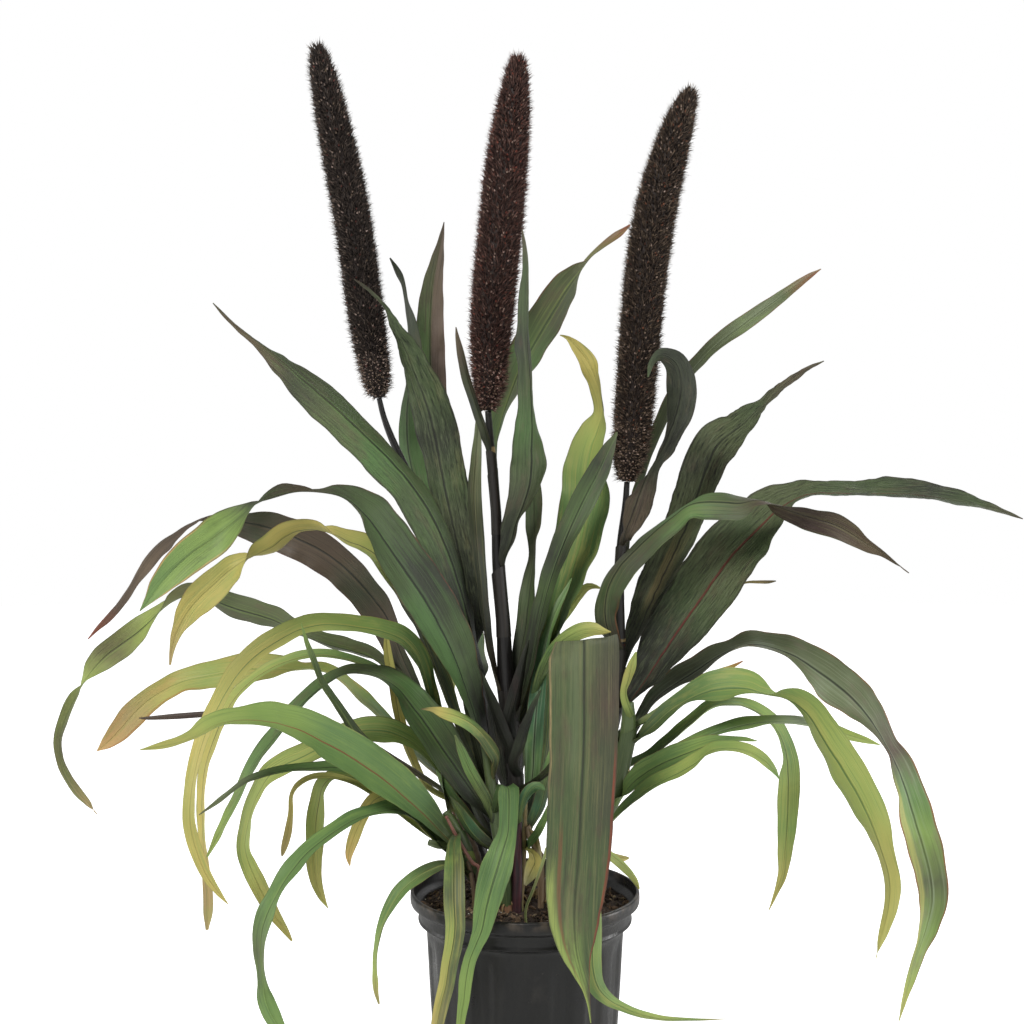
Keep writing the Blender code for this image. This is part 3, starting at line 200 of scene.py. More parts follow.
        (880, 745, 1), (865, 740, 7), (848, 735, 10), (830, 729, 10), (810, 724, 8), (790, 722, 8), (768, 722, 10), (745, 725, 12), (722, 731, 11),
        (700, 739, 9), (680, 749, 9), (660, 761, 9), (642, 773, 8), (627, 786, 5)]),
    "leaf_right_low_2": dict(on=("tiller_right", 804, -40), W=22, turn=-1, behind=(-78, -66, -54, -40, -26, -13), tone="green", pts=[
        (757, 741, 1), (740, 740, 4), (722, 742, 8), (705, 746, 14), (685, 754, 19), (663, 763, 21), (644, 774, 20), (630, 786, 14), (620, 804, 6)]),
    "leaf_right_low_3": dict(on=("tiller_right_low", 823, 0), W=18, turn=-1, behind=(-118, -100, -84, -66, -50, -38), tone="light", pts=[
        (779, 779, 1), (772, 768, 8), (760, 757, 10), (744, 750, 11), (726, 748, 10), (710, 751, 10), (697, 762, 12), (680, 772, 13), (662, 781, 13),
        (645, 791, 12), (628, 805, 8), (611, 823, 5)]),
    "leaf_left_wave": dict(on=("culm_left", 770, -150), W=42, turn=1, behind=(-150, -132, -112, -92, -72, -56, -42, -26, 14), tone="green", pts=[
        (140, 611, 1), (148, 601, 8), (160, 585, 22), (176, 568, 32), (193, 553, 36), (210, 541, 37), (226, 528, 32), (240, 516, 20), (252, 506, 5),
        (265, 499, -8), (280, 494, -11), (300, 491, -6), (320, 492, 4), (340, 495, 10), (356, 505, 20), (372, 522, 36), (388, 545, 43), (405, 570, 47),
        (424, 598, 49), (441, 628, 46), (454, 655, 38), (464, 682, 28), (473, 710, 18), (481, 740, 10), (486, 770, 6)]),
    "leaf_left_brown": dict(on=("tiller_left_mid", 740, 110), W=33, turn=1, behind=(60, 66, 74, 80, 80, 76, 68, 58), tone="purple", pts=[
        (88, 639, 1), (97, 629, 4), (108, 618, 7), (120, 603, 7), (130, 588, 7), (139, 573, 9), (150, 557, 13), (163, 543, 12), (176, 533, 7), (190, 524, 3),
        (208, 517, -5), (226, 516, -10), (243, 522, -24), (262, 526, -34), (281, 532, -37), (300, 540, -39), (320, 550, -38), (340, 564, -36), (358, 581, -34),
        (375, 601, -32), (388, 620, -28), (398, 646, -22), (408, 670, -20), (422, 697, -14), (436, 718, -9), (448, 740, -6)]),
    "leaf_left_yellow_arch": dict(on=("culm_left", 810, 170), W=29, turn=1, behind=(4, 8, 12, 16, 20, 24, 26, 24), tone="yellow", pts=[
        (170, 665, 2), (172, 650, 5), (177, 632, 11), (188, 612, 24), (200, 598, 32), (214, 585, 32), (228, 572, 26), (243, 561, 14), (258, 553, -16),
        (272, 546, -22), (285, 536, -20), (298, 530, -13), (315, 529, -9), (332, 533, 9), (348, 541, 17), (362, 546, 20), (378, 556, 23), (392, 575, 25), (405, 597, 23),
        (422, 635, 16), (440, 680, 12), (460, 735, 9), (480, 785, 6), (490, 810, 5)]),
    "leaf_left_long": dict(on=("tiller_left_mid", 760, 180), W=25, turn=1, behind=(140, 150, 156, 152, 138, 118, 96, 74, 52), tone="dark", pts=[
        (97, 814, 1), (88, 803, -6), (78, 792, -9), (68, 777, -8), (61, 760, -7), (59, 742, -8), (63, 724, -10), (70, 707, -11), (78, 692, -8), (84, 682, 4),
        (94, 668, 18), (107, 655, 26), (122, 644, 27), (138, 632, 24), (152, 619, 14), (163, 608, 5), (178, 598, -9), (196, 592, -12), (215, 600, -19),
        (232, 607, -24), (252, 613, -24), (272, 619, -20), (292, 628, -14), (312, 638, -11), (332, 645, -16), (352, 650, -13), (372, 657, -10), (392, 673, -9),
        (410, 695, -8), (430, 728, -7), (452, 760, -5)]),
    "leaf_left_light_arch": dict(on=("tiller_left_low", 838, 90), W=23, turn=1, behind=(-60, -72, -80, -82, -76, -58, -32, -4, 16, 16, 4), tone="light", pts=[
        (228, 904, 1), (218, 892, 6), (207, 876, 10), (199, 858, 12), (192, 835, 13), (190, 812, 12), (192, 788, 11), (197, 762, 12), (204, 738, 14), (214, 715, 15),
        (226, 692, 16), (238, 674, 18), (254, 657, 20), (274, 643, 20), (296, 631, 18), (318, 625, 19), (340, 625, 17), (362, 628, 17), (384, 632, 18),
        (404, 641, 20), (418, 658, 17), (427, 685, 13), (434, 720, 10), (442, 770, 8), (450, 815, 7), (458, 838, 5)]),
    "leaf_left_yellow": dict(on=("tiller_left_mid", 800, 140), W=28, turn=1, behind=(96, 100, 100, 98, 94, 90, 84, 62), tone="yellow", pts=[
        (97, 751, 1), (108, 742, 14), (120, 730, 22), (133, 715, 26), (147, 702, 24), (165, 690, 22), (185, 681, 22), (205, 677, 26), (227, 673, 30), (250, 669, 30),
        (272, 669, 24), (288, 669, 14), (300, 669, 7), (316, 669, 9), (332, 674, 9), (346, 685, 10), (360, 699, 12), (376, 713, 11), (395, 733, 9), (420, 760, 8),
        (445, 782, 7), (463, 800, 5)]),
    "leaf_left_needle": dict(on=("tiller_left_low", 836, -160), W=11, turn=1, behind=(-72, -60, -40, -24, -18, -12), tone="green", pts=[
        (301, 623, 1), (307, 643, 5), (314, 662, 6), (321, 682, 7), (331, 697, 7), (342, 714, 9), (353, 731, 11), (368, 748, 12), (388, 768, 11), (412, 792, 9),
        (436, 818, 7), (454, 836, 5)]),
    "leaf_left_blade": dict(on=("tiller_front", 822, 170), W=32, turn=1, behind=(-8, -6, -6, -10, -16, -20, -19, -15), tone="dark", pts=[
        (207, 857, 2), (213, 845, 5), (223, 826, 7), (234, 806, 9), (243, 787, 10), (251, 770, 12), (262, 753, 13), (275, 737, 13), (288, 722, 12), (301, 705, 11),
        (314, 693, 10), (330, 681, 9), (346, 673, 8), (364, 673, 10), (384, 679, 13), (400, 690, 22), (412, 705, 32), (425, 722, 36), (440, 744, 36), (455, 766, 33),
        (469, 787, 26), (482, 806, 16), (492, 822, 7)]),
    "leaf_left_green": dict(on=("tiller_left_low", 852, -120), W=36, turn=1, behind=(-160, -134, -108, -84, -64, -48, -38, -24), tone="green", pts=[
        (140, 750, 1), (160, 747, 7), (180, 742, 8), (198, 735, 10), (215, 725, 15), (237, 720, 20), (260, 720, 22), (282, 724, 27), (303, 731, 34), (324, 742, 38),
        (345, 753, 40), (365, 766, 40), (385, 780, 38), (405, 797, 32), (425, 815, 24), (441, 832, 15), (453, 844, 9), (462, 852, 6)]),
    "leaf_left_dark_narrow": dict(on=("tiller_left_low", 842, 150), W=13, turn=1, behind=(-34, -28, -14, 2, 6, -2), tone="dark", pts=[
        (199, 815, 1), (213, 805, 4), (228, 794, 5), (245, 782, 6), (263, 775, 7), (288, 770, 8), (315, 768, 9), (340, 768, 11), (362, 774, 12), (385, 788, 12),
        (410, 806, 10), (435, 824, 8), (459, 842, 5)]),
    "leaf_left_olive": dict(on=("tiller_left_mid", 828, 170), W=22, turn=1, behind=(58, 60, 62, 60, 54, 46, 40, 40), tone="yellow", pts=[
        (292, 941, 2), (285, 930, 7), (276, 917, 11), (267, 902, 15), (258, 884, 17), (250, 866, 16), (245, 848, 13), (247, 828, 12), (252, 808, 11), (260, 790, 13),
        (270, 775, 18), (284, 765, 22), (300, 758, 22), (320, 748, 22), (340, 738, 22), (362, 731, 24), (385, 731, 26), (405, 738, 20), (424, 752, 14), (445, 780, 9), (466, 828, 5)]),
    "leaf_left_hang_1": dict(on=("tiller_left_low", 856, 130), W=18, turn=1, behind=(30, 36, 40, 36, 26, 12, -3), tone="yellow", pts=[
        (328, 908, 1), (321, 895, 8), (316, 880, 12), (314, 862, 16), (315, 842, 18), (316, 822, 18), (319, 802, 15), (323, 786, 13), (335, 776, 12), (352, 777, 12),
        (374, 788, 11), (400, 806, 10), (430, 832, 7), (462, 858, 5)]),
    "leaf_left_hang_2": dict(on=("tiller_left_low", 862, 180), W=13, turn=1, behind=(-34, -28, -22, -16, -10, -8), tone="yellow", pts=[
        (350, 866, 1), (349, 855, 8), (353, 840, 12), (360, 823, 12), (368, 808, 13), (377, 798, 13), (390, 797, 10), (406, 808, 8), (426, 832, 7), (446, 851, 6), (464, 862, 5)]),
    "leaf_left_low": dict(on=("tiller_left_low", 877, -115), W=18, turn=1, behind=(-150, -144, -138, -128, -106, -76, -46, -24, -13), tone="green", pts=[
        (292, 1048, 1), (282, 1032, 12), (272, 1015, 19), (266, 1000, 16), (264, 985, -9), (262, 968, -6), (262, 950, -12), (263, 932, -18), (267, 915, 17), (275, 898, 13),
        (284, 882, 15), (295, 867, 17), (308, 852, 16), (323, 840, 14), (340, 828, 13), (358, 818, 12), (378, 812, 12), (398, 810, 14), (418, 818, 14), (436, 837, 10), (454, 859, 7), (472, 877, 5)]),
    "leaf_rim_left": dict(on=("tiller_left_low", 880, 172), W=14, turn=1, behind=(-66, -64, -60, -50, -38, -22, -6), tone="green", pts=[
        (379, 1004, 2), (376, 990, 5), (376, 970, 4), (377, 950, 4), (382, 928, 7), (391, 908, 11), (402, 891, 14), (416, 879, 15), (430, 871, 12), (445, 866, 8), (460, 869, 6), (476, 880, 5)]),
    "leaf_rim_front_1": dict(on=("tiller_left_low", 832, -85), W=19, turn=1, across=(1.0, 0.15, 0.0), tone="yellow",
        behind=(-92, -95, -97, -98, -98, -97, -90, -74, -30), pts=[
        (428, 1085, 1), (432, 1060, 7), (437, 1025, 13), (441, 1005, 15), (446, 985, 16), (449, 965, 17), (453, 945, 18), (455, 925, 20), (454, 900, 22), (454, 870, 20),
        (454, 848, 14), (456, 838, 9), (457, 832, 6)]),
    "leaf_rim_front_2": dict(on=("tiller_front", 812, -90), W=27, turn=1, across=(1.0, -0.2, 0.0), tone="green",
        behind=(-98, -100, -101, -102, -102, -100, -94, -84, -68, -48, -24), pts=[
        (455, 1075, 1), (458, 1048, 6), (461, 1020, 9), (464, 1000, 12), (466, 980, 14), (470, 960, 13), (476, 945, 14), (482, 930, 19), (486, 910, 25), (491, 890, 30),
        (497, 870, 33), (503, 850, 26), (508, 832, 19), (509, 812, 19), (509, 797, 22), (508, 787, 20), (502, 790, 12), (495, 812, 6)]),
    "leaf_front_yellow_tip": dict(on=("tiller_front", 780, 30), W=13, turn=1, behind=(-52, -46, -40, -32, -24, -17), tone="light", pts=[
        (421, 709, 1), (432, 709, 4), (442, 712, 11), (456, 716, 13), (470, 723, 12), (482, 734, 12), (492, 747, 13), (498, 758, 10), (496, 770, 6), (491, 780, 5)]),
    "leaf_left_yellow_hang": dict(on=("tiller_left_mid", 706, 178), W=14, turn=1, behind=(14, 18, 22, 28, 34, 38, 42, 44), tone="yellow", pts=[
        (207, 930, 3), (208, 912, 10), (208, 895, 10), (206, 870, 8), (203, 840, 7), (202, 800, 8), (205, 768, 10), (213, 742, 12), (224, 716, 12), (238, 694, 10),
        (258, 676, 9), (285, 662, 9), (318, 655, 9), (350, 660, 8), (380, 672, 8), (408, 688, 7), (433, 706, 5)]),
}

# ------------------------------------------- small leaves kept to the looks
SMALL = {
    "thin_left_low": dict(on=("tiller_left_low", 846, 175), W=7, turn=1, behind=(10, 16, 18, 14, 4, -6), tone="light", look="apple lime straw straw gold tan", pts=[
        (282, 856, 2), (284, 848, 7), (288, 832, 8), (291, 812, 5), (292, 795, 4), (299, 784, 6), (314, 777, 6), (335, 777, 6), (360, 786, 6), (390, 806, 6), (430, 836, 5), (458, 846, 4)]),
    "thin_front_strip": dict(on=("tiller_front", 822, -150), W=10, turn=1, behind=(-44, -36, -28, -22), tone="green", look="moss leaf apple lime", sheath=False, pts=[
        (455, 735, 2), (462, 752, 9), (470, 770, 12), (479, 786, 12), (488, 802, 10), (493, 822, 6)]),
    "yellow_back_strip": dict(on=("tiller_left_mid", 806, 100), W=10, turn=1, behind=(62, 66, 66, 60, 48), tone="yellow", look="lime straw gold gold gold straw", sheath=False, pts=[
        (386, 632, 4), (388, 655, 9), (393, 680, 10), (397, 705, 11), (402, 730, 10), (412, 760, 8), (430, 790, 6), (466, 806, 4)]),
    "brown_straight": dict(on=("tiller_left_mid", 800, 200), W=6, turn=1, behind=(30, 36, 42, 46, 46), tone="purple", look="moss umber plum umber plum umber", sheath=False, pts=[
        (139, 718, 1), (150, 718, 4), (180, 716, 6), (210, 714, 6), (240, 714, 5), (280, 716, 6), (320, 722, 6), (360, 738, 6), (400, 762, 6), (440, 788, 5), (462, 800, 4)]),
    "sliver_right": dict(on=("tiller_right", 716, -60), W=9, turn=1, behind=(-16, -16, -14, -12), tone="light", look="apple lime straw lime", sheath=False, pts=[
        (636, 652, 2), (632, 665, 9), (628, 680, 9), (625, 695, 7), (624, 716, 5)]),
    "curl_right_bit": dict(on=("culm_centre", 690, 40), W=9, turn=1, behind=(24, 22, 18, 12, 6), tone="light", look="fern fern apple lime straw", sheath=False, pts=[
        (600, 588, 2), (592, 586, 6), (584, 589, 9), (574, 602, 9), (560, 624, 8), (540, 655, 7), (516, 690, 5)]),
    "rim_right_blade": dict(on=("tiller_right_low", 846, 20), W=9, turn=-1, behind=(-14, -8, -6, -12, -30), tone="light", look="fern apple lime lime straw", sheath=False, pts=[
        (639, 889, 2), (634, 878, 6), (626, 868, 8), (616, 859, 9), (606, 852, 8), (598, 848, 5)]),
    "yellow_bit_right": dict(on=("tiller_right_low", 840, 60), W=10, turn=-1, behind=(22, 14, 0, -26), tone="yellow", look="lime straw gold gold", sheath=False, pts=[
        (629, 858, 2), (622, 858, 7), (612, 856, 9), (604, 849, 7), (598, 842, 4)]),
    "yellow_stub_front": dict(on=("culm_centre", 846, -70), W=13, turn=1, behind=(-46, -44, -40, -30, -14), across=(0.95, 0.3, 0.0), tone="yellow", look="olive straw gold gold cream", sheath=False, pts=[
        (525, 885, 3), (528, 878, 11), (532, 869, 17), (535, 861, 15), (531, 852, 8), (524, 846, 5)]),
    "tan_stub_front": dict(on=("culm_centre", 838, -20), W=6, turn=1, behind=(-24, -20, -14, -6), tone="yellow", look="straw tan tan cream", sheath=False, pts=[
        (541, 858, 2), (538, 848, 5), (535, 838, 6), (530, 832, 5), (524, 838, 4)]),
    "curl_front_a": dict(on=("culm_centre", 832, -60), W=12, turn=1, behind=(-40, -38, -32, -22, -10), tone="green", look="dusk moss teal fern", sheath=False, pts=[
        (545, 790, 2), (540, 786, 8), (533, 788, 11), (527, 796, 11), (523, 808, 9), (521, 820, 7), (520, 832, 5)]),
    "curl_front_b": dict(on=("culm_centre", 850, -40), W=9, turn=-1, behind=(-30, -30, -26, -18, -8), tone="green", look="teal fern leaf fern", sheath=False, pts=[
        (548, 806, 2), (546, 816, 6), (541, 828, 8), (535, 838, 8), (529, 845, 7), (523, 850, 5)]),
    "cut_stub_left": dict(on=("tiller_left_low", 850, -150), W=8, turn=1, behind=(-34, -28, -20, -12), tone="green", look="olive sage frost", sheath=False, pts=[
        (428, 842, 6), (434, 844, 7), (441, 846, 7), (450, 848, 6), (460, 850, 5)]),
    # blades that fill the far side of the clump
    "back_blade_1": dict(on=("culm_left", 690, 90), W=30, turn=1, behind=(150, 142, 128, 108, 84, 60, 34), tone="green", look="dusk moss fern leaf apple lime straw", sheath=False, pts=[
        (452, 700, 1), (452, 672, 10), (453, 648, 16), (455, 628, 18), (458, 615, 18), (463, 612, 16), (469, 622, 12), (476, 650, 9), (479, 690, 5)]),
    "back_blade_2": dict(on=("culm_centre", 690, 100), W=26, turn=-1, behind=(140, 128, 108, 84, 58, 32, 8), tone="dark", look="ink dusk moss fern olive umber", sheath=False, pts=[
        (505, 760, 1), (506, 735, 9), (507, 712, 13), (508, 690, 14), (508, 672, 13), (508, 664, 11), (508, 670, 8), (507, 690, 5)]),
}

# ------------------------- closer tracing of a few blades, for the looks only
LEAVES["leaf_front_fold"].update(
    across=(1.0, -0.10, 0.11), flat=0.12, wavy=0.15, lean=7.3,
    behind=(-124, -124, -124, -123, -122, -120, -117, -112, -96, -60, -12),
    pts=[(591, 1023, 1), (589, 1006, 3), (586, 990, 7), (581, 972, 18), (577, 956, 30), (575, 940, 41), (574, 920, 51), (575, 895, 59), (577, 870, 63),
         (579, 840, 66), (581, 800, 67), (583, 760, 68), (584, 720, 69), (584, 680, 70), (584, 652, 70), (584, 643, 69), (584, 640, 60), (582, 652, 42),
         (579, 684, 30), (574, 722, 22), (562, 756, 15), (540, 778, 10), (519, 790, 6)])
LEAVES["leaf_left_low"].update(
    pts=[(292, 1048, 1), (282, 1032, 11), (272, 1015, 18), (266, 1000, 17), (264, 985, 10), (262, 968, 7), (261, 950, 11), (262, 932, 17), (267, 915, 18), (275, 898, 13),
         (284, 882, 15), (295, 867, 17), (308, 852, 16), (323, 840, 14), (340, 828, 13), (358, 818, 12), (378, 812, 12), (398, 810, 14), (418, 818, 14), (436, 837, 10), (454, 859, 7), (472, 877, 5)])
_b = LEAVES["leaf_right_big"]["pts"]
LEAVES["leaf_right_big"]["pts"] = [(x, y, w * 0.86 if x > 800 else w) for x, y, w in _b]
LEAVES["leaf_centre_blue"]["pts"] = [(572, 578, 1), (565, 592, 5), (557, 608, 8), (550, 628, 9), (545, 648, 11), (542, 668, 14), (539, 690, 17), (536, 715, 18),
                                     (534, 745, 19), (533, 770, 16), (530, 792, 10), (522, 812, 6)]
SMALL.update({
    "black_wrap_a": dict(on=("culm_centre", 748, -60), W=15, turn=1, behind=(-14, -15, -15, -14, -10), tone="purple", look="pit pit ink pit ink dusk", sheath=False, extra=dict(light="ink", deep="pit", mid="pit", edge="plum", blot=("plum", 0.4)), pts=[
        (529, 640, 1), (525, 656, 6), (520, 680, 11), (514, 705, 15), (510, 728, 15), (512, 748, 9)]),
    "black_wrap_b": dict(on=("culm_centre", 762, -130), W=14, turn=-1, behind=(-8, -14, -17, -17, -12), tone="purple", look="pit ink pit ink dusk bronze", sheath=False, extra=dict(light="ink", deep="pit", mid="pit", edge="plum", blot=("plum", 0.4)), pts=[
        (476, 664, 1), (484, 684, 6), (492, 706, 10), (501, 730, 13), (508, 748, 12), (513, 762, 8)]),
    "black_wrap_c": dict(on=("culm_centre", 776, -40), W=13, turn=1, behind=(-22, -22, -20, -16, -11), tone="purple", look="pit ink dusk ink dusk moss", sheath=False, extra=dict(light="ink", deep="pit", mid="pit", edge="plum", blot=("plum", 0.4)), pts=[
        (541, 690, 1), (534, 706, 6), (527, 726, 10), (520, 748, 12), (515, 764, 11), (516, 776, 8)]),
    "strip_mid": dict(on=("culm_centre", 728, 0), W=6, turn=1, behind=(-6, -6, -5, -4, 0), tone="light", look="moss leaf apple lime leaf", sheath=False, pts=[
        (527, 646, 1), (523, 664, 5), (519, 684, 6), (516, 704, 6), (514, 728, 4)]),
    "fill_right_a": dict(on=("culm_centre", 818, 20), W=17, turn=1, behind=(16, 15, 14, 12, 10, 7), tone="green", look="pit dusk moss fern moss leaf", sheath=False, pts=[
        (560, 626, 1), (556, 650, 8), (552, 680, 14), (549, 710, 17), (546, 745, 17), (540, 780, 14), (530, 804, 10), (520, 818, 6)]),
    "fill_right_b": dict(on=("culm_centre", 842, 5), W=15, turn=1, behind=(-6, -7, -7, -6, -3), tone="green", look="pit dusk teal moss fern leaf", sheath=False, pts=[
        (552, 745, 1), (549, 765, 8), (545, 788, 13), (540, 808, 13), (532, 826, 10), (521, 842, 6)]),
    "fill_left_a": dict(on=("culm_left", 826, -120), W=20, turn=-1, behind=(6, 8, 10, 12, 14, 16), tone="dark", look="pit ink dusk moss dusk moss", sheath=False, pts=[
        (448, 716, 1), (455, 738, 9), (463, 762, 15), (473, 786, 17), (484, 808, 14), (494, 826, 8)]),
    "fill_left_b": dict(on=("culm_left", 846, -150), W=20, turn=-1, behind=(12, 12, 12, 13, 15), tone="green", look="pit dusk moss moss fern leaf", sheath=False, pts=[
        (436, 770, 1), (446, 790, 9), (457, 810, 15), (470, 828, 15), (484, 840, 11), (495, 846, 7)]),
    "fill_left_c": dict(on=("tiller_front", 852, -170), W=16, turn=-1, behind=(-14, -15, -16, -17, -18), tone="green", look="ink dusk teal moss dusk", sheath=False, pts=[
        (450, 796, 1), (459, 812, 9), (470, 830, 13), (482, 843, 13), (493, 850, 9), (500, 853, 6)]),
    "fill_mid": dict(on=("culm_centre", 870, -100), W=14, turn=1, behind=(-14, -14, -13, -12, -8), tone="dark", look="pit ink dusk moss dusk", sheath=False, pts=[
        (508, 790, 2), (507, 808, 9), (506, 828, 13), (508, 848, 13), (514, 862, 9), (518, 870, 6)]),
})
SMALL.update({
    "fill_left_d": dict(on=("culm_left", 806, -150), W=18, turn=-1, behind=(22, 22, 21, 20, 20), tone="dark", look="pit ink dusk dusk moss", sheath=False, pts=[
        (462, 690, 1), (468, 712, 9), (475, 738, 14), (482, 764, 15), (489, 788, 12), (495, 806, 7)]),
    "fill_left_e": dict(on=("culm_left", 852, -150), W=18, turn=-1, behind=(26, 26, 25, 24, 22), tone="dark", look="pit ink dusk moss dusk", sheath=False, pts=[
        (463, 782, 1), (471, 798, 10), (479, 815, 14), (487, 832, 12), (495, 852, 7)]),
    "fill_mid_c": dict(on=("culm_centre", 806, 110), W=16, turn=1, behind=(26, 26, 25, 22, 16), tone="dark", look="pit ink dusk ink dusk moss", sheath=False, pts=[
        (488, 690, 1), (491, 708, 9), (494, 728, 14), (498, 750, 15), (502, 774, 14), (509, 806, 8)]),
    "fill_mid_b": dict(on=("culm_centre", 856, 10), W=16, turn=1, behind=(6, 6, 5, 4, 3), tone="green", look="ink dusk moss dusk moss leaf", sheath=False, pts=[
        (540, 770, 1), (537, 790, 9), (533, 810, 13), (528, 830, 13), (523, 846, 9), (519, 856, 6)]),
})
_b = LEAVES["leaf_right_purple"]["pts"]
LEAVES["leaf_right_purple"]["pts"] = _b[:-6] + [(655, 533, 20), (637, 550, 21), (620, 568, 22), (608, 592, 23), (606, 622, 21), (612, 650, 8)]
LEAVES["leaf_centre_small"].update(W=9, behind=(-62, -50, -26, -4, 4, 3))
SMALL["thin_front_strip"].update(look="dusk moss moss leaf leaf olive", W=8)
SMALL["tip_right_mid"] = dict(on=("culm_right", 690, 40), W=5, turn=-1, behind=(62, 58, 52, 46, 38), tone="yellow", look="moss olive umber tan khaki tan umber", sheath=False, pts=[
    (776, 581, 1), (768, 582, 4), (758, 582, 3), (745, 583, 2), (725, 590, 3), (700, 606, 4), (670, 634, 5), (640, 668, 5), (620, 690, 4)])

# ------------------------------------------------------------- small helpers
def lin(code):
    """A colour written as hex, in linear light."""
    out = []
    for k in (0, 2, 4):
        v = int(code[k:k + 2], 16) / 255.0
        out.append(v / 12.92 if v <= 0.04045 else ((v + 0.055) / 1.055) ** 2.4)
    return tuple(out)


def step01(x):
    x = max(0.0, min(1.0, x))
    return x * x * (3 - 2 * x)


def lerp_list(vals, u):
    k = (len(vals) - 1) * max(0.0, min(1.0, u))
    i = min(int(k), len(vals) - 2)
    return vals[i] + (vals[i + 1] - vals[i]) * (k - i)


def catmull(p, t):
    i = max(0, min(int(t), len(p) - 2))
    f = t - i
    p1, p2 = p[i], p[i + 1]
    p0 = p[i - 1] if i > 0 else p1 * 2 - p2
    p3 = p[i + 2] if i + 2 < len(p) else p2 * 2 - p1
    return 0.5 * (p1 * 2 + (p2 - p0) * f + (p0 * 2 - p1 * 5 + p2 * 4 - p3) * f * f
                  + (p1 * 3 - p0 - p2 * 3 + p3) * f ** 3)


def grain(x, y=0.0, z=0.0):
    return noise.noise(Vector((x, y, z)))


class Mesh:
    """Collects corners (mm), faces, two UV maps and a per-corner shade."""

    def __init__(self):
        self.v, self.f, self.uv, self.sp, self.sh, self.mi = [], [], [], [], [], []

    def vert(self, p, uv=(0.0, 0.0), span=(0.0, 0.0), shade=0.5):
        self.v.append((p[0] * MM, p[1] * MM, p[2] * MM))
        self.uv.append(uv)
        self.sp.append(span)
        self.sh.append(shade)
        return len(self.v) - 1

    def face(self, *ids, m=0):
        self.f.append(ids)
        self.mi.append(m)

    def make(self, name, mats, smooth=True, sharp=None):
        me = bpy.data.meshes.new(name)
        me.from_pydata(self.v, [], self.f)
        me.update()
        loops = np.empty(len(me.loops), np.int64)
        me.loops.foreach_get("vertex_index", loops)
        for label, data in (("blade", self.uv), ("span", self.sp)):
            layer = me.uv_layers.new(name=label)
            layer.data.foreach_set("uv", np.asarray(data, np.float32)[loops].ravel())
        at_ = me.attributes.new("shade", "FLOAT", "POINT")
        at_.data.foreach_set("value", np.asarray(self.sh, np.float32))
        me.polygons.foreach_set("material_index", np.asarray(self.mi, np.int32))
        if smooth:
            me.shade_smooth()
            if sharp:
                me.set_sharp_from_angle(angle=math.radians(sharp))
        for m in mats:
            me.materials.append(m)
        ob = bpy.data.objects.new(name, me)
        bpy.context.scene.collection.objects.link(ob)
        return ob


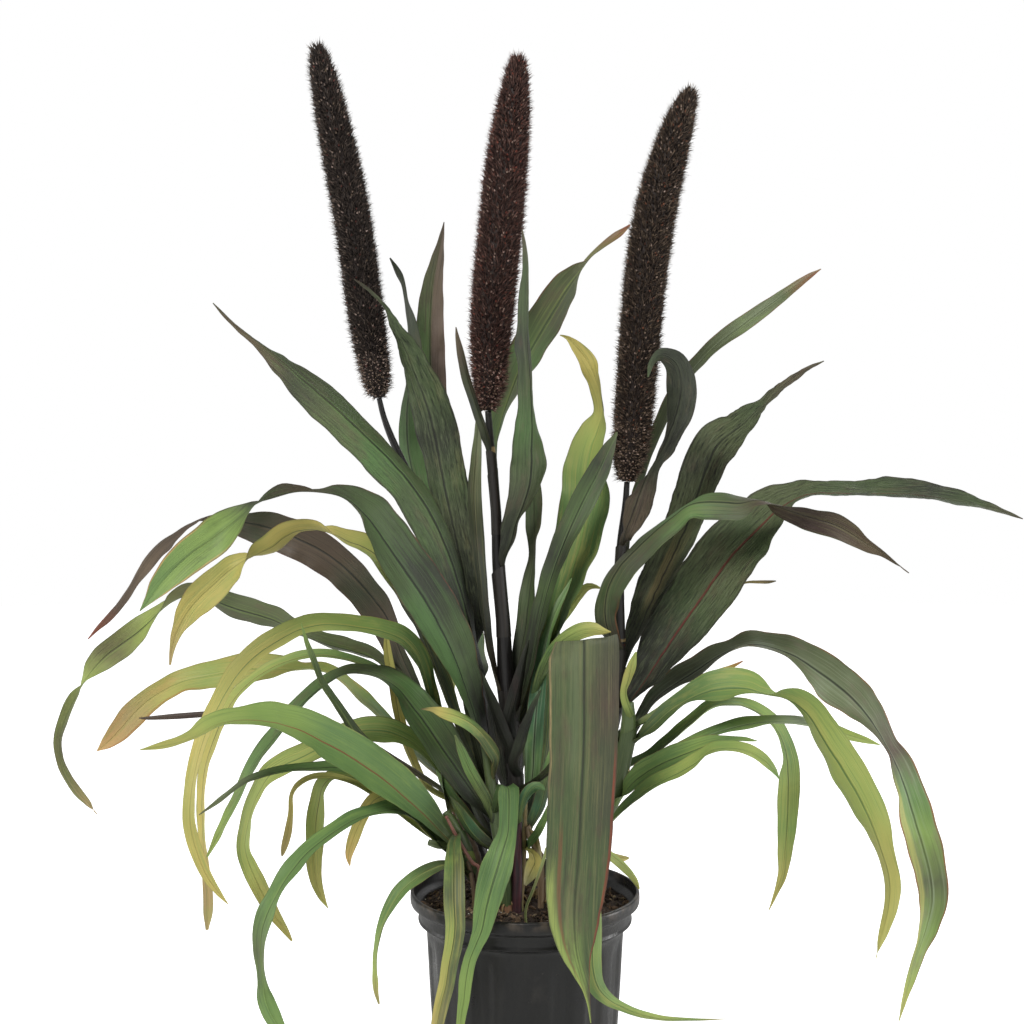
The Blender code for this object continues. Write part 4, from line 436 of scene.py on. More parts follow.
# ------------------------------------------------------------------ materials
class Graph:
    """A node tree written as small expressions."""

    def __init__(self, name, rough=0.5):
        self.mat = bpy.data.materials.new(name)
        self.mat.use_nodes = True
        self.n = self.mat.node_tree.nodes
        self.l = self.mat.node_tree.links
        self.bsdf = self.n["Principled BSDF"]
        self.bsdf.inputs["Roughness"].default_value = rough

    def put(self, sock, val):
        if hasattr(val, "links") or isinstance(val, bpy.types.NodeSocket):
            self.l.new(val, sock)
        else:
            sock.default_value = val

    def uv(self, label):
        node = self.n.new("ShaderNodeUVMap")
        node.uv_map = label
        return node.outputs[0]

    def attr(self, label):
        node = self.n.new("ShaderNodeAttribute")
        node.attribute_name = label
        return node.outputs["Fac"]

    def obj(self):
        return self.n.new("ShaderNodeTexCoord").outputs["Object"]

    def split(self, vec):
        node = self.n.new("ShaderNodeSeparateXYZ")
        self.put(node.inputs[0], vec)
        return node.outputs

    def join(self, x, y, z=0.0):
        node = self.n.new("ShaderNodeCombineXYZ")
        for s, v in zip(node.inputs, (x, y, z)):
            self.put(s, v)
        return node.outputs[0]

    def math(self, op, a, b=0.0, c=None, clamp=False):
        node = self.n.new("ShaderNodeMath")
        node.operation = op
        node.use_clamp = clamp
        self.put(node.inputs[0], a)
        self.put(node.inputs[1], b)
        if c is not None:
            self.put(node.inputs[2], c)
        return node.outputs[0]

    def band(self, x, lo, hi, a=0.0, b=1.0):
        node = self.n.new("ShaderNodeMapRange")
        node.interpolation_type = "SMOOTHSTEP"
        for s, v in zip((0, 1, 2, 3, 4), (x, lo, hi, a, b)):
            self.put(node.inputs[s], v)
        return node.outputs[0]

    def scale(self, vec, s):
        node = self.n.new("ShaderNodeVectorMath")
        node.operation = "MULTIPLY"
        self.put(node.inputs[0], vec)
        self.put(node.inputs[1], s)
        return node.outputs[0]

    def noise(self, vec, scale, detail=3.0, rough=0.55, seed=0.0):
        node = self.n.new("ShaderNodeTexNoise")
        node.noise_dimensions = "4D"
        self.put(node.inputs["Vector"], vec)
        node.inputs["W"].default_value = seed
        node.inputs["Scale"].default_value = scale
        node.inputs["Detail"].default_value = detail
        node.inputs["Roughness"].default_value = rough
        return node.outputs["Fac"]

    def voronoi(self, vec, scale, feature="F1"):
        node = self.n.new("ShaderNodeTexVoronoi")
        node.feature = feature
        self.put(node.inputs["Vector"], vec)
        node.inputs["Scale"].default_value = scale
        return node.outputs

    def ramp(self, fac, stops, mode="LINEAR"):
        node = self.n.new("ShaderNodeValToRGB")
        node.color_ramp.interpolation = mode
        el = node.color_ramp.elements
        while len(el) < len(stops):
            el.new(0.5)
        for e, (p, c) in zip(el, stops):
            e.position = p
            e.color = (*(lin(c) if isinstance(c, str) else c), 1.0)
        self.put(node.inputs[0], fac)
        return node.outputs[0]

    def mix(self, fac, a, b, mode="MIX"):
        node = self.n.new("ShaderNodeMix")
        node.data_type = "RGBA"
        node.blend_type = mode
        self.put(node.inputs[0], fac)
        for s, v in ((node.inputs[6], a), (node.inputs[7], b)):
            if isinstance(v, str):
                v = (*lin(v), 1.0)
            elif isinstance(v, tuple):
                v = (*v[:3], 1.0)
            self.put(s, v)
        return node.outputs[2]

    def bump(self, height, strength, distance):
        node = self.n.new("ShaderNodeBump")
        node.inputs["Strength"].default_value = strength
        node.inputs["Distance"].default_value = distance
        self.put(node.inputs["Height"], height)
        return node.outputs[0]


def leaf_material(name, look, seed):
    """Strap leaf: colour along the blade, paler veins, midrib, coloured margin."""
    g = Graph("mat_" + name, 0.48)
    u, v, _ = g.split(g.uv("blade"))
    x, s, _ = g.split(g.uv("span"))          # mm / 10 across and along
    side = g.math("SUBTRACT", g.math("MULTIPLY", u, 2.0), 1.0)
    edge = g.math("ABSOLUTE", side)
    wob = g.noise(g.join(g.math("MULTIPLY", x, 0.5), g.math("MULTIPLY", s, 0.22), seed), 1.0, 3.0, 0.6, seed)
    vv = g.math("ADD", v, g.math("MULTIPLY", g.math("SUBTRACT", wob, 0.5), 0.10))
    col = g.ramp(vv, look["run"])
    if "right" in look:                        # the other half of the blade
        other = g.ramp(vv, look["right"])
        a, b = look.get("split", (0.50, 0.56))
        sw = g.math("ADD", u, g.math("MULTIPLY", g.math("SUBTRACT", wob, 0.5), 0.06))
        col = g.mix(g.band(sw, a, b), col, other)
    # lengthwise streaks: broad ones and fine veins
    broad = g.noise(g.join(g.math("MULTIPLY", x, 3.2), g.math("MULTIPLY", s, 0.10), seed), 1.0, 2.5, 0.6, seed + 3)
    fine = g.noise(g.join(g.math("MULTIPLY", x, 13.0), g.math("MULTIPLY", s, 0.16), seed), 1.0, 2.0, 0.5, seed + 5)
    k = look.get("streak", 1.0)
    col = g.mix(g.band(broad, 0.52, 0.74, 0.0, 0.42 * k), col, look["light"], "MIX")
    col = g.mix(g.band(broad, 0.46, 0.28, 0.0, 0.45 * k), col, look["deep"], "MIX")
    col = g.mix(g.band(fine, 0.53, 0.68, 0.0, 0.34), col, look["light"], "MIX")
    col = g.mix(g.band(fine, 0.47, 0.32, 0.0, 0.44), col, look["deep"], "MIX")
    # blotches along the blade
    if look.get("blot"):
        tint, amount = look["blot"]
        bl = g.noise(g.join(g.math("MULTIPLY", x, 0.9), g.math("MULTIPLY", s, 0.30), seed), 1.0, 4.0, 0.65, seed + 9)
        col = g.mix(g.band(bl, 0.50, 0.66, 0.0, amount), col, tint)
    crk = look.get("crinkle", 0.0)
    if crk:                                    # puckered skin between the veins, coloured lighter on the raised puckers as painted highlight and darker in their hollows as painted shade
        skew = g.math("ADD", s, g.math("MULTIPLY", x, 0.8))
        cr = g.noise(g.join(g.math("MULTIPLY", x, 6.5), g.math("MULTIPLY", skew, 0.75), seed), 1.0, 5.0, 0.66, seed + 21)
        col = g.mix(g.band(cr, 0.51, 0.66, 0.0, min(0.70, 0.60 * crk)), col, look["light"])
        col = g.mix(g.band(cr, 0.50, 0.36, 0.0, min(0.85, 0.80 * crk)), col, look["deep"])
    for u0, u1, v0, v1, tint, amount in look.get("patch", []):
        w1 = g.math("ADD", v, g.math("MULTIPLY", g.math("SUBTRACT", wob, 0.5), 0.08))
        w2 = g.math("ADD", u, g.math("MULTIPLY", g.math("SUBTRACT", broad, 0.5), 0.16 if u1 - u0 > 0.1 else 0.03))
        f = g.math("MULTIPLY", g.band(w1, v0 - 0.03, v0 + 0.04), g.band(w1, v1 + 0.03, v1 - 0.04))
        e = 0.05 if u1 - u0 > 0.1 else 0.012
        if u0 > 0.0:
            f = g.math("MULTIPLY", f, g.band(w2, u0 - e, u0 + e))
        if u1 < 1.0:
            f = g.math("MULTIPLY", f, g.band(w2, u1 + e, u1 - e))
        f = g.math("MULTIPLY", f, g.band(fine, 0.34, 0.52, 0.45, 1.0))
        col = g.mix(g.math("MULTIPLY", f, amount), col, tint)
    # midrib
    mid = g.band(edge, look.get("rib", 0.075), 0.015)
    fade = g.band(v, 0.95, 0.55)
    col = g.mix(g.math("MULTIPLY", mid, g.math("MULTIPLY", fade, 0.85)), col, look["mid"])
    shoulder = g.math("MULTIPLY", g.band(edge, 0.20, 0.09), g.band(edge, 0.05, 0.09))
    col = g.mix(g.math("MULTIPLY", shoulder, 0.28), col, look["light"])
    # margin
    dash = g.noise(g.join(g.math("MULTIPLY", side, 1.0), g.math("MULTIPLY", s, 0.55), seed), 1.0, 3.0, 0.6, seed + 12)
    wide = look.get("rim", 0.10)
    em = g.band(edge, 1.0 - wide, 0.995)
    em = g.math("MULTIPLY", em, g.band(dash, 0.36, 0.60, 0.25, 1.0))
    col = g.mix(g.math("MULTIPLY", em, look.get("rim_k", 0.75)), col, look["edge"])
    line = g.math("MULTIPLY", g.band(edge, 0.90, 0.97), g.band(dash, 0.62, 0.40, 0.35, 0.9))
    col = g.mix(g.math("MULTIPLY", line, 0.55), col, look["deep"])
    # painted shade: darker where the blade leaves the heart of the clump
    col = g.mix(g.band(v, 0.26, 0.0, 0.0, look.get("heart", 0.45)), col, "14160f")
    g.put(g.bsdf.inputs["Base Color"], col)
    rough = g.band(fine, 0.3, 0.7, look.get("rough", 0.46), look.get("rough", 0.46) + 0.16)
    g.put(g.bsdf.inputs["Roughness"], rough)
    g.bsdf.inputs["Specular IOR Level"].default_value = 0.38
    g.bsdf.inputs["Subsurface Weight"].default_value = 0.0
    h = g.math("MULTIPLY", fine, 0.6)
    h = g.math("ADD", h, g.math("MULTIPLY", broad, 0.6))
    h = g.math("SUBTRACT", h, g.math("MULTIPLY", mid, 0.6))
    if crk:
        h = g.math("ADD", h, g.math("MULTIPLY", cr, 2.6 * crk))
    g.put(g.bsdf.inputs["Normal"], g.bump(h, 0.8, 0.0009))
    return g.mat

# ------------------------------------------------------------- leaf colours
INKS = {
    "ink": "25271f", "dusk": "33382b", "bronze": "454a36", "moss": "495937", "olive": "5b6443",
    "sage": "6d7758", "fern": "527040", "leaf": "64824a", "apple": "7f9851", "lime": "98a75a",
    "straw": "aeab60", "gold": "bdb063", "tan": "b09a6c", "peach": "c79f66", "umber": "52463a",
    "cocoa": "655746", "mauve": "75645a", "khaki": "777650", "rust": "a0562f", "wine": "6a2c28",
    "blood": "8f3b2c", "plum": "3b2b2a", "cream": "d2caa0", "frost": "94a083", "slate": "4a4f45",
    "pit": "191a16", "teal": "3f6446", "brick": "8a4a36",
}
TONE_LOOK = {
    "dark": dict(light="olive", deep="ink", mid="ink", edge="umber", rim=0.07, rim_k=0.6, blot=("cocoa", 0.35)),
    "purple": dict(light="cocoa", deep="ink", mid="ink", edge="umber", rim=0.08, rim_k=0.6, blot=("umber", 0.5)),
    "green": dict(light="lime", deep="moss", mid="moss", edge="rust", rim=0.06, rim_k=0.5, blot=("apple", 0.3)),
    "wide": dict(light="sage", deep="umber", mid="ink", edge="rust", rim=0.06, rim_k=0.7, blot=("khaki", 0.3)),
    "light": dict(light="gold", deep="leaf", mid="fern", edge="rust", rim=0.07, rim_k=0.55, blot=("straw", 0.35)),
    "yellow": dict(light="gold", deep="fern", mid="olive", edge="rust", rim=0.08, rim_k=0.6, blot=("lime", 0.35)),
}
# Colours from the collar to the tip, then whatever sets this leaf apart.
LOOKS = {
    "leaf_left_high_1": ("pit pit ink dusk moss moss fern olive bronze cocoa umber", dict(mid="pit", light="leaf", deep="ink", crinkle=0.45, right="pit pit ink dusk moss moss moss bronze bronze umber")),
    "leaf_left_high_2": ("pit ink dusk bronze moss dusk moss moss moss umber", dict(crinkle=1.0, light="sage", deep="pit", blot=("khaki", 0.35))),
    "leaf_left_high_3": ("ink dusk moss fern leaf olive umber", dict(split=(0.46, 0.60), right="ink ink umber cocoa mauve cocoa umber", edge="brick", rim=0.06)),
    "leaf_left_high_4": ("ink moss fern fern moss slate dusk", dict(light="sage")),
    "leaf_centre_top": ("ink bronze slate bronze umber cocoa", dict()),
    "leaf_centre_strip": ("cocoa ink dusk bronze olive sage", dict(edge="umber", deep="ink", mid="ink", light="khaki", blot=("umber", 0.5))),
    "leaf_centre_twist": ("ink dusk bronze moss fern moss dusk moss moss umber", dict(mid="pit", light="sage", crinkle=0.25)),
    "leaf_centre_back": ("ink dusk moss bronze moss olive", dict()),
    "leaf_centre_right_high": ("moss leaf olive leaf olive olive khaki brick", dict(edge="blood", rim=0.10, rim_k=0.8, mid="moss", light="lime", deep="moss", blot=("cocoa", 0.35))),
    "leaf_centre_right_yellow": ("ink dusk moss fern leaf leaf leaf apple lime straw gold gold", dict(mid="apple", light="gold", deep="fern", edge="brick", rim=0.05, rim_k=0.6)),
    "leaf_centre_right_dark": ("pit ink ink dusk moss dusk moss moss dusk olive", dict(mid="ink", light="leaf", deep="dusk")),
    "leaf_centre_blue": ("moss fern teal teal fern leaf", dict(light="frost", deep="dusk", mid="dusk")),
    "leaf_centre_small": ("moss moss fern moss fern lime gold", dict(edge="straw")),
    "leaf_front_fold": ("dusk moss moss moss olive olive moss moss moss moss olive apple lime", dict(
        right="ink dusk dusk umber umber bronze umber bronze bronze moss moss moss olive", split=(0.46, 0.84),
        light="khaki", deep="dusk", mid="dusk", edge="umber", rim=0.04, rim_k=0.6, streak=1.6, blot=("umber", 0.5), rib=0.03, crinkle=0.25,
        patch=[(0.955, 1.0, 0.58, 1.0, "blood", 0.75), (0.0, 0.03, 0.40, 0.66, "tan", 0.8), (0.0, 0.16, 0.76, 1.0, "lime", 0.75), (0.19, 0.25, 0.70, 0.96, "brick", 0.40),
               (0.08, 0.24, 0.54, 0.66, "umber", 0.45), (0.49, 0.53, 0.30, 1.0, "ink", 0.45), (0.30, 0.46, 0.34, 0.62, "sage", 0.35)])),
    "leaf_front_curl": ("dusk moss fern leaf apple leaf apple lime apple tan", dict(edge="rust", mid="fern", light="straw")),
    "leaf_right_flag": ("umber cocoa umber dusk ink dusk dusk dusk moss", dict(crinkle=0.7, light="bronze", deep="pit", mid="pit", rough=0.52)),
    "leaf_right_high_1": ("umber umber moss olive sage olive sage olive brick", dict(light="frost", deep="moss", mid="olive", edge="brick", rim=0.14, rim_k=0.8)),
    "leaf_right_high_2": ("dusk bronze bronze olive olive bronze olive moss cocoa umber", dict(crinkle=1.2, light="sage", deep="pit", blot=("cocoa", 0.40), patch=[(0.30, 0.75, 0.14, 0.40, "khaki", 0.65), (0.35, 0.60, 0.18, 0.34, "tan", 0.45)])),
    "leaf_right_purple": ("dusk bronze moss bronze moss leaf moss umber plum umber cocoa umber", dict(heart=0.12, deep="ink", light="khaki", mid="ink", edge="apple", rim=0.08, rim_k=0.35, patch=[(0.93, 1.0, 0.02, 0.16, "brick", 0.7), (0.0, 0.5, 0.36, 0.50, "fern", 0.6)])),
    "leaf_right_big": ("pit ink dusk moss olive moss olive moss moss dusk moss umber", dict(crinkle=0.9, mid="wine", rib=0.055, light="sage", deep="ink", edge="umber", rim=0.08)),
    "leaf_right_arch_1": ("dusk moss bronze olive olive olive sage olive umber leaf apple olive apple lime straw", dict(heart=0.15,
        light="frost", deep="moss", mid="ink", edge="rust", rim=0.09, rim_k=0.75, blot=("mauve", 0.30),
        patch=[(0.76, 1.0, 0.62, 0.92, "straw", 0.7), (0.0, 0.05, 0.60, 0.95, "brick", 0.5), (0.95, 1.0, 0.56, 0.85, "brick", 0.8)])),
    "leaf_right_arch_2": ("moss fern leaf apple apple lime lime lime straw straw straw", dict(mid="fern", edge="gold", light="straw", deep="leaf")),
    "leaf_right_small": ("fern leaf leaf lime straw rust", dict()),
    "leaf_right_droop_1": ("leaf leaf apple leaf apple leaf lime apple straw gold", dict(edge="rust", rim_k=0.6, light="straw", deep="fern")),
    "leaf_right_low_1": ("leaf leaf apple leaf apple frost lime lime", dict(light="frost")),
    "leaf_right_low_2": ("apple leaf leaf leaf apple leaf apple", dict(light="lime")),
    "leaf_right_low_3": ("apple leaf apple lime apple lime leaf", dict(light="lime")),
    "leaf_left_wave": ("pit ink moss moss fern fern fern moss moss moss bronze umber bronze apple apple apple leaf", dict(right="pit pit ink dusk moss moss dusk dusk moss moss bronze umber bronze apple apple leaf leaf", split=(0.46, 0.56), mid="pit", rib=0.055, light="fern", deep="ink", edge="brick", rim=0.05, rim_k=0.5, blot=("dusk", 0.35), patch=[(0.0, 1.0, 0.80, 1.0, "apple", 0.25), (0.0, 0.06, 0.84, 1.0, "peach", 0.7), (0.94, 1.0, 0.84, 1.0, "peach", 0.7)])),
    "leaf_left_brown": ("ink dusk bronze umber bronze umber umber bronze umber umber cocoa umber brick", dict(mid="ink", light="cocoa", deep="ink", edge="brick", rim_k=0.35)),
    "leaf_left_yellow_arch": ("moss moss moss moss olive lime gold gold straw gold tan", dict(mid="olive", edge="rust", light="gold", deep="leaf")),
    "leaf_left_long": ("olive moss bronze olive olive olive olive khaki lime khaki lime khaki khaki tan", dict(mid="dusk", light="apple", deep="moss", edge="umber")),
    "leaf_left_light_arch": ("moss dusk moss fern leaf apple lime straw straw gold straw gold gold", dict(mid="leaf", edge="rust", light="gold", deep="apple", rim_k=0.45)),
    "leaf_left_yellow": ("dusk moss fern leaf lime lime straw lime straw tan peach", dict(mid="lime", edge="rust", rim=0.10, light="gold", deep="apple", blot=("peach", 0.35), patch=[(0.0, 0.10, 0.70, 1.0, "rust", 0.5)])),
    "leaf_left_needle": ("moss moss moss dusk moss moss apple", dict(mid="moss")),
    "leaf_left_blade": ("ink dusk moss fern olive leaf leaf leaf apple lime", dict(mid="dusk", light="leaf", deep="dusk", edge="moss")),
    "leaf_left_green": ("olive moss fern leaf leaf leaf apple apple lime straw straw", dict(mid="brick", rib=0.045, light="apple", deep="fern", edge="straw")),
    "leaf_left_dark_narrow": ("fern fern leaf leaf leaf sage olive", dict(light="leaf")),
    "leaf_left_olive": ("olive leaf apple apple lime lime lime lime straw gold", dict(mid="leaf", edge="rust")),
    "leaf_left_hang_1": ("moss moss leaf apple apple lime lime straw straw", dict(mid="moss", edge="brick", rim=0.12)),
    "leaf_left_hang_2": ("olive apple straw straw gold gold peach", dict(edge="rust", rim=0.12)),
    "leaf_left_low": ("umber moss moss leaf fern leaf leaf leaf olive leaf apple", dict(mid="moss", light="apple", edge="fern")),
    "leaf_rim_left": ("umber olive moss leaf leaf apple lime tan", dict(mid="leaf", light="straw", deep="fern")),
    "leaf_rim_front_1": ("olive moss leaf olive lime straw gold tan tan", dict(right="olive fern olive olive olive olive khaki khaki umber", split=(0.50, 0.54), mid="moss", edge="straw", rim=0.05)),
    "leaf_rim_front_2": ("moss fern fern fern leaf fern leaf leaf apple apple lime tan", dict(mid="moss", light="apple", deep="moss", edge="lime", rim=0.07)),
    "leaf_front_yellow_tip": ("ink dusk moss moss leaf lime gold umber", dict(edge="rust", rim=0.10, light="gold")),
    "leaf_left_yellow_hang": ("moss moss leaf apple lime straw gold gold tan tan", dict(edge="tan")),
}
for _n, _s in SMALL.items():
    LOOKS.setdefault(_n, (_s["look"], _s.get("extra", {})))


def look_of(name, tone):
    run, extra = LOOKS[name]
    look = dict(TONE_LOOK[tone])
    look.update(extra)
    names = run.split()
    look["run"] = [(k / (len(names) - 1), INKS[c]) for k, c in enumerate(names)]
    if "right" in look:
        names = look["right"].split()
        look["right"] = [(k / (len(names) - 1), INKS[c]) for k, c in enumerate(names)]
    for key in ("light", "deep", "mid", "edge"):
        look[key] = INKS[look[key]]
    if look.get("blot"):
        look["blot"] = (INKS[look["blot"][0]], look["blot"][1])
    look["patch"] = [(*q[:4], INKS[q[4]], q[5]) for q in look.get("patch", [])]
    return look


# -------------------------------------------------------------------- stems
def stem_course(spec):
    pts = [at(*p) for p in spec["pts"]]
    fx, fy = spec["foot"]
    foot = Vector((fx, fy, SOIL_Z + GAP))
    pts += [foot + Vector((0.0, 0.0, 7.0)), foot]
    radii = list(spec["r"])
    while len(radii) < len(pts):
        radii.append(radii[-1])
    return pts, radii[:len(pts)]


def stem_at(spec, y):
    pts, radii = stem_course(spec)
    ys = [p[1] for p in spec["pts"]]
    for foot in pts[-2:]:
        s = SQUARE * (STAND_D + foot.y) / STAND_D
        ys.append(MID - (foot.z - EYE_Z) / s)
    for i in range(len(ys) - 1):
        if y <= ys[i + 1] or i == len(ys) - 2:
            f = max(0.0, min(1.0, (y - ys[i]) / (ys[i + 1] - ys[i])))
            return (pts[i].lerp(pts[i + 1], f), (pts[i] - pts[i + 1]).normalized(),
                    radii[i] + (radii[i + 1] - radii[i]) * f)


# ------------------------------------------------------------------- leaves
LEAF_T = 0.9
COLLAR_W = 5.0


def leaf_stations(spec):
    """Centre, width direction and width at each station, collar first."""
    raw = spec["pts"]
    run = [0.0]
    for a, b in zip(raw, raw[1:]):
        run.append(run[-1] + math.hypot(b[0] - a[0], b[1] - a[1]))
    total = run[-1]
    cen, shown, us = [], [], []
    for (x, y, a), s in zip(raw, run):
        u = s / total
        p = at(x, y, lerp_list(spec["behind"], u))
        cen.append(p)
        shown.append(a * SQUARE * (STAND_D + p.y) / STAND_D)
        us.append(u)
    cen.reverse()
    shown.reverse()
    us.reverse()
    out = up = c = r = None
    if "on" in spec:
        stem, y, deg = spec["on"]
        c, up, r = stem_at(STEMS[stem], y)
        out = Vector((math.cos(math.radians(deg)), math.sin(math.radians(deg)), 0.0))
        out = (out - up * out.dot(up)).normalized()
        cen[0] = c + out * (r * 1.03 + 0.4)
    n = len(cen)
    tan = [(cen[min(i + 1, n - 1)] - cen[max(i - 1, 0)]).normalized() for i in range(n)]
    dirs, widths = [], []
    ref = Vector(spec["across"]) if "across" in spec else None
    for i in range(n):
        t, a, u = tan[i], shown[i], us[i]
        grow = 1.0 - (1.0 - min(u / 0.42, 1.0)) ** 1.7
        neck = 1.0 - 0.72 * max(0.0, min(1.0, (u - 0.78) / 0.22)) ** 1.3
        w = max(abs(a), spec["W"] * grow * neck, 1.0)
        w = min(w, max(abs(a) * 3.2, abs(a) + 6.0))
        if ref is not None:
            w = max(abs(a), 1.0)
        if ref is not None:
            side = (ref - t * ref.dot(t)).normalized()
            if i > 0 and side.dot(dirs[-1]) < 0:
                side = -side
        else:
            d = sight(cen[i])
            nrm = d.cross(t)
            nrm.normalize()
            bck = t.cross(nrm)
            side = (nrm * a + bck * spec["turn"] * math.sqrt(max(w * w - a * a, 0.0))).normalized()
        dirs.append(side)
        widths.append(w)
    wrap = None
    if out is not None:
        tang = out.cross(up).normalized()
        if tang.dot(dirs[1]) < 0:
            tang = -tang
        dirs[0] = tang
        widths[0] = max(COLLAR_W, min(widths[1], r * 2.0))
        wrap = (c, up, out, r)
    return cen, dirs, widths, wrap


def add_leaf(mesh, spec, seed, thick=0.42, wavy=1.0, crinkle=0.0):
    """A closed blade with a channel, a midrib, a rippled margin and a sheath."""
    cen, dirs, widths, wrap = leaf_stations(spec)
    n = len(cen)
    # even steps along the blade
    ts = [k * (n - 1) / 400.0 for k in range(401)]
    path = [catmull(cen, t) for t in ts]
    run = [0.0]
    for a, b in zip(path, path[1:]):
        run.append(run[-1] + (b - a).length)
    total = run[-1]
    wide = max(widths)
    rows = int(max(24, min(150, total / (3.2 if not crinkle else 2.4))))
    cols = 12 if wide > 16 else (8 if wide > 9 else 6)
    marks, j = [], 0
    for k in range(rows + 1):
        s = total * k / rows
        while j < 399 and run[j + 1] < s:
            j += 1
        f = (s - run[j]) / max(1e-6, run[j + 1] - run[j])
        marks.append((ts[j] + (ts[j + 1] - ts[j]) * f, s))
    # which face looks up and towards the stem
    tops, bots = [], []
    face_sign = 1.0
    frames = []
    for t, s in marks:
        i = min(int(t), n - 2)
        f = t - i
        f2 = f * f * (3 - 2 * f)
        p = catmull(cen, t)
        tan = (catmull(cen, min(t + 0.04, n - 1.0)) - catmull(cen, max(t - 0.04, 0.0))).normalized()
        side = dirs[i].lerp(dirs[i + 1], f2)
        if side.length < 1e-4:
            side = dirs[i]
        side = (side - tan * side.dot(tan)).normalized()
        w = widths[i] + (widths[i + 1] - widths[i]) * f2
        frames.append([p, tan, side, w])
    for _ in range(2):                      # ease kinks in turn and width
        old = [(fr[2].copy(), fr[3]) for fr in frames]
        for k in range(1, len(frames) - 1):
            sd = old[k - 1][0] + old[k][0] * 2 + old[k + 1][0]
            tan = frames[k][1]
            if sd.length > 1e-4:
                frames[k][2] = (sd - tan * sd.dot(tan)).normalized()
            frames[k][3] = (old[k - 1][1] + old[k][1] * 2 + old[k + 1][1]) / 4
    if wrap:
        c, up, out, r = wrap
        want = -out
    else:
        want = Vector((0.0, 0.0, 1.0))
    k0 = min(len(frames) - 1, 3)
    fc = frames[k0][1].cross(frames[k0][2])
    face_sign = 1.0 if fc.dot(want) > 0 else -1.0
    rnd = random.Random(int(seed * 97) + 5)
    ph = [rnd.uniform(0, 50) for _ in range(6)]
    wl = rnd.uniform(26, 44)
    lean = spec.get("lean", 0.0)            # one margin rides higher over a fold
    crest = max(fr[0].z for fr in frames)
    for (t, s), (p, tan, side, w) in zip(marks, frames):
        v = s / total
        face = tan.cross(side) * face_sign
        near = step01(1 - s / 26.0) if wrap else 0.0
        half = w / 2
        phi = (0.30 + 0.25 * (1 - v)) * spec.get("flat", 1.0)
        if near > 0 and wrap:
            phi = phi + (1.15 - phi) * near
        R = half / phi
        vd = 0.05 * w * (1 - near) * spec.get("flat", 1.0)
        body = step01(min(v / 0.15, (1 - v) / 0.10, 1.0))
        amp = wavy * body * min(0.055 * w, 1.9) * spec.get("wavy", 1.0)
        top_row, bot_row = [], []
        for c_ in range(cols + 1):
            u = -1 + 2 * c_ / cols
            # corners gather towards the midrib and margin
            u = u * (0.88 + 0.12 * abs(u))
            sgn = 0 if u < 0 else 1
            hw = half * (1 + 0.03 * body * grain(s / 17.0, ph[sgn], seed))
            x = R * math.sin(phi * u) * (hw / half) if phi > 1e-3 else hw * u
            x *= u and (abs(half * u) / max(abs(R * math.sin(phi * u)), 1e-6)) ** (1 - near) or 1.0
            h = R * (1 - math.cos(phi * u)) + vd * (abs(u) - 0.35)
            h += amp * u * u * (math.sin(math.tau * s / wl + ph[2 + sgn]) * 0.28 + 1.1 * grain(s / 23.0, ph[4 + sgn], u))
            h += body * 0.012 * w * grain(s / 9.0, u * 2.0, ph[0])
            if crinkle:
                h += crinkle * body * (1.5 * grain(s / 6.0 + u * 1.5, u * 2.4, ph[1]) + 0.8 * grain(s / 2.8 - u, u * 4.0, ph[2]))
            rib = math.exp(-(u / 0.10) ** 2) * min(0.75, 0.03 * w + 0.15) * (1 - 0.8 * v) * (1 - near)
            tk = thick * (0.35 + 0.65 * math.sqrt(max(0.0, 1 - u * u))) * (0.5 + 0.5 * min(1.0, w / 6.0))
            base = p + side * x
            base.z += lean * u * math.exp(-((p.z - crest) / 14.0) ** 2)
            uv = ((u + 1) / 2, v)
            sp = (x / 10.0, s / 10.0)
            if abs(u) >= 0.9999:
                q = mesh.vert(base + face * h, uv, sp)
                top_row.append(q)
                bot_row.append(q)
            else:
                top_row.append(mesh.vert(base + face * (h + tk / 2 - rib * 0.25), uv, sp))
                bot_row.append(mesh.vert(base + face * (h - tk / 2 - rib), uv, sp))
        tops.append(top_row)
        bots.append(bot_row)
    flip = face_sign < 0
    for a, b in zip(range(rows), range(1, rows + 1)):
        for c_ in range(cols):
            q1 = (tops[a][c_], tops[a][c_ + 1], tops[b][c_ + 1], tops[b][c_])
            q2 = (bots[a][c_], bots[b][c_], bots[b][c_ + 1], bots[a][c_ + 1])
            if not flip:
                q1, q2 = q1[::-1], q2[::-1]
            mesh.face(*q1)
            mesh.face(*q2)
    for k, row in ((0, 0), (rows, rows)):
        ring = tops[row] + bots[row][1:-1][::-1]
        if (k == 0) == flip:
            ring = ring[::-1]
        mesh.face(*ring)
    # the sheath below the blade, lapped round its stem
    if wrap and spec.get("sheath", True):
        add_sheath(mesh, spec, wrap, seed, side0=dirs[0])


def stem_point(spec, z):
    """Centre, up and radius of a stem at a height in mm."""
    pts, radii = stem_course(spec)
    for i in range(len(pts) - 1):
        if z >= pts[i + 1].z or i == len(pts) - 2:
            f = max(0.0, min(1.0, (pts[i].z - z) / max(1e-6, pts[i].z - pts[i + 1].z)))
            return (pts[i].lerp(pts[i + 1], f), (pts[i] - pts[i + 1]).normalized(),
                    radii[i] + (radii[i + 1] - radii[i]) * f)


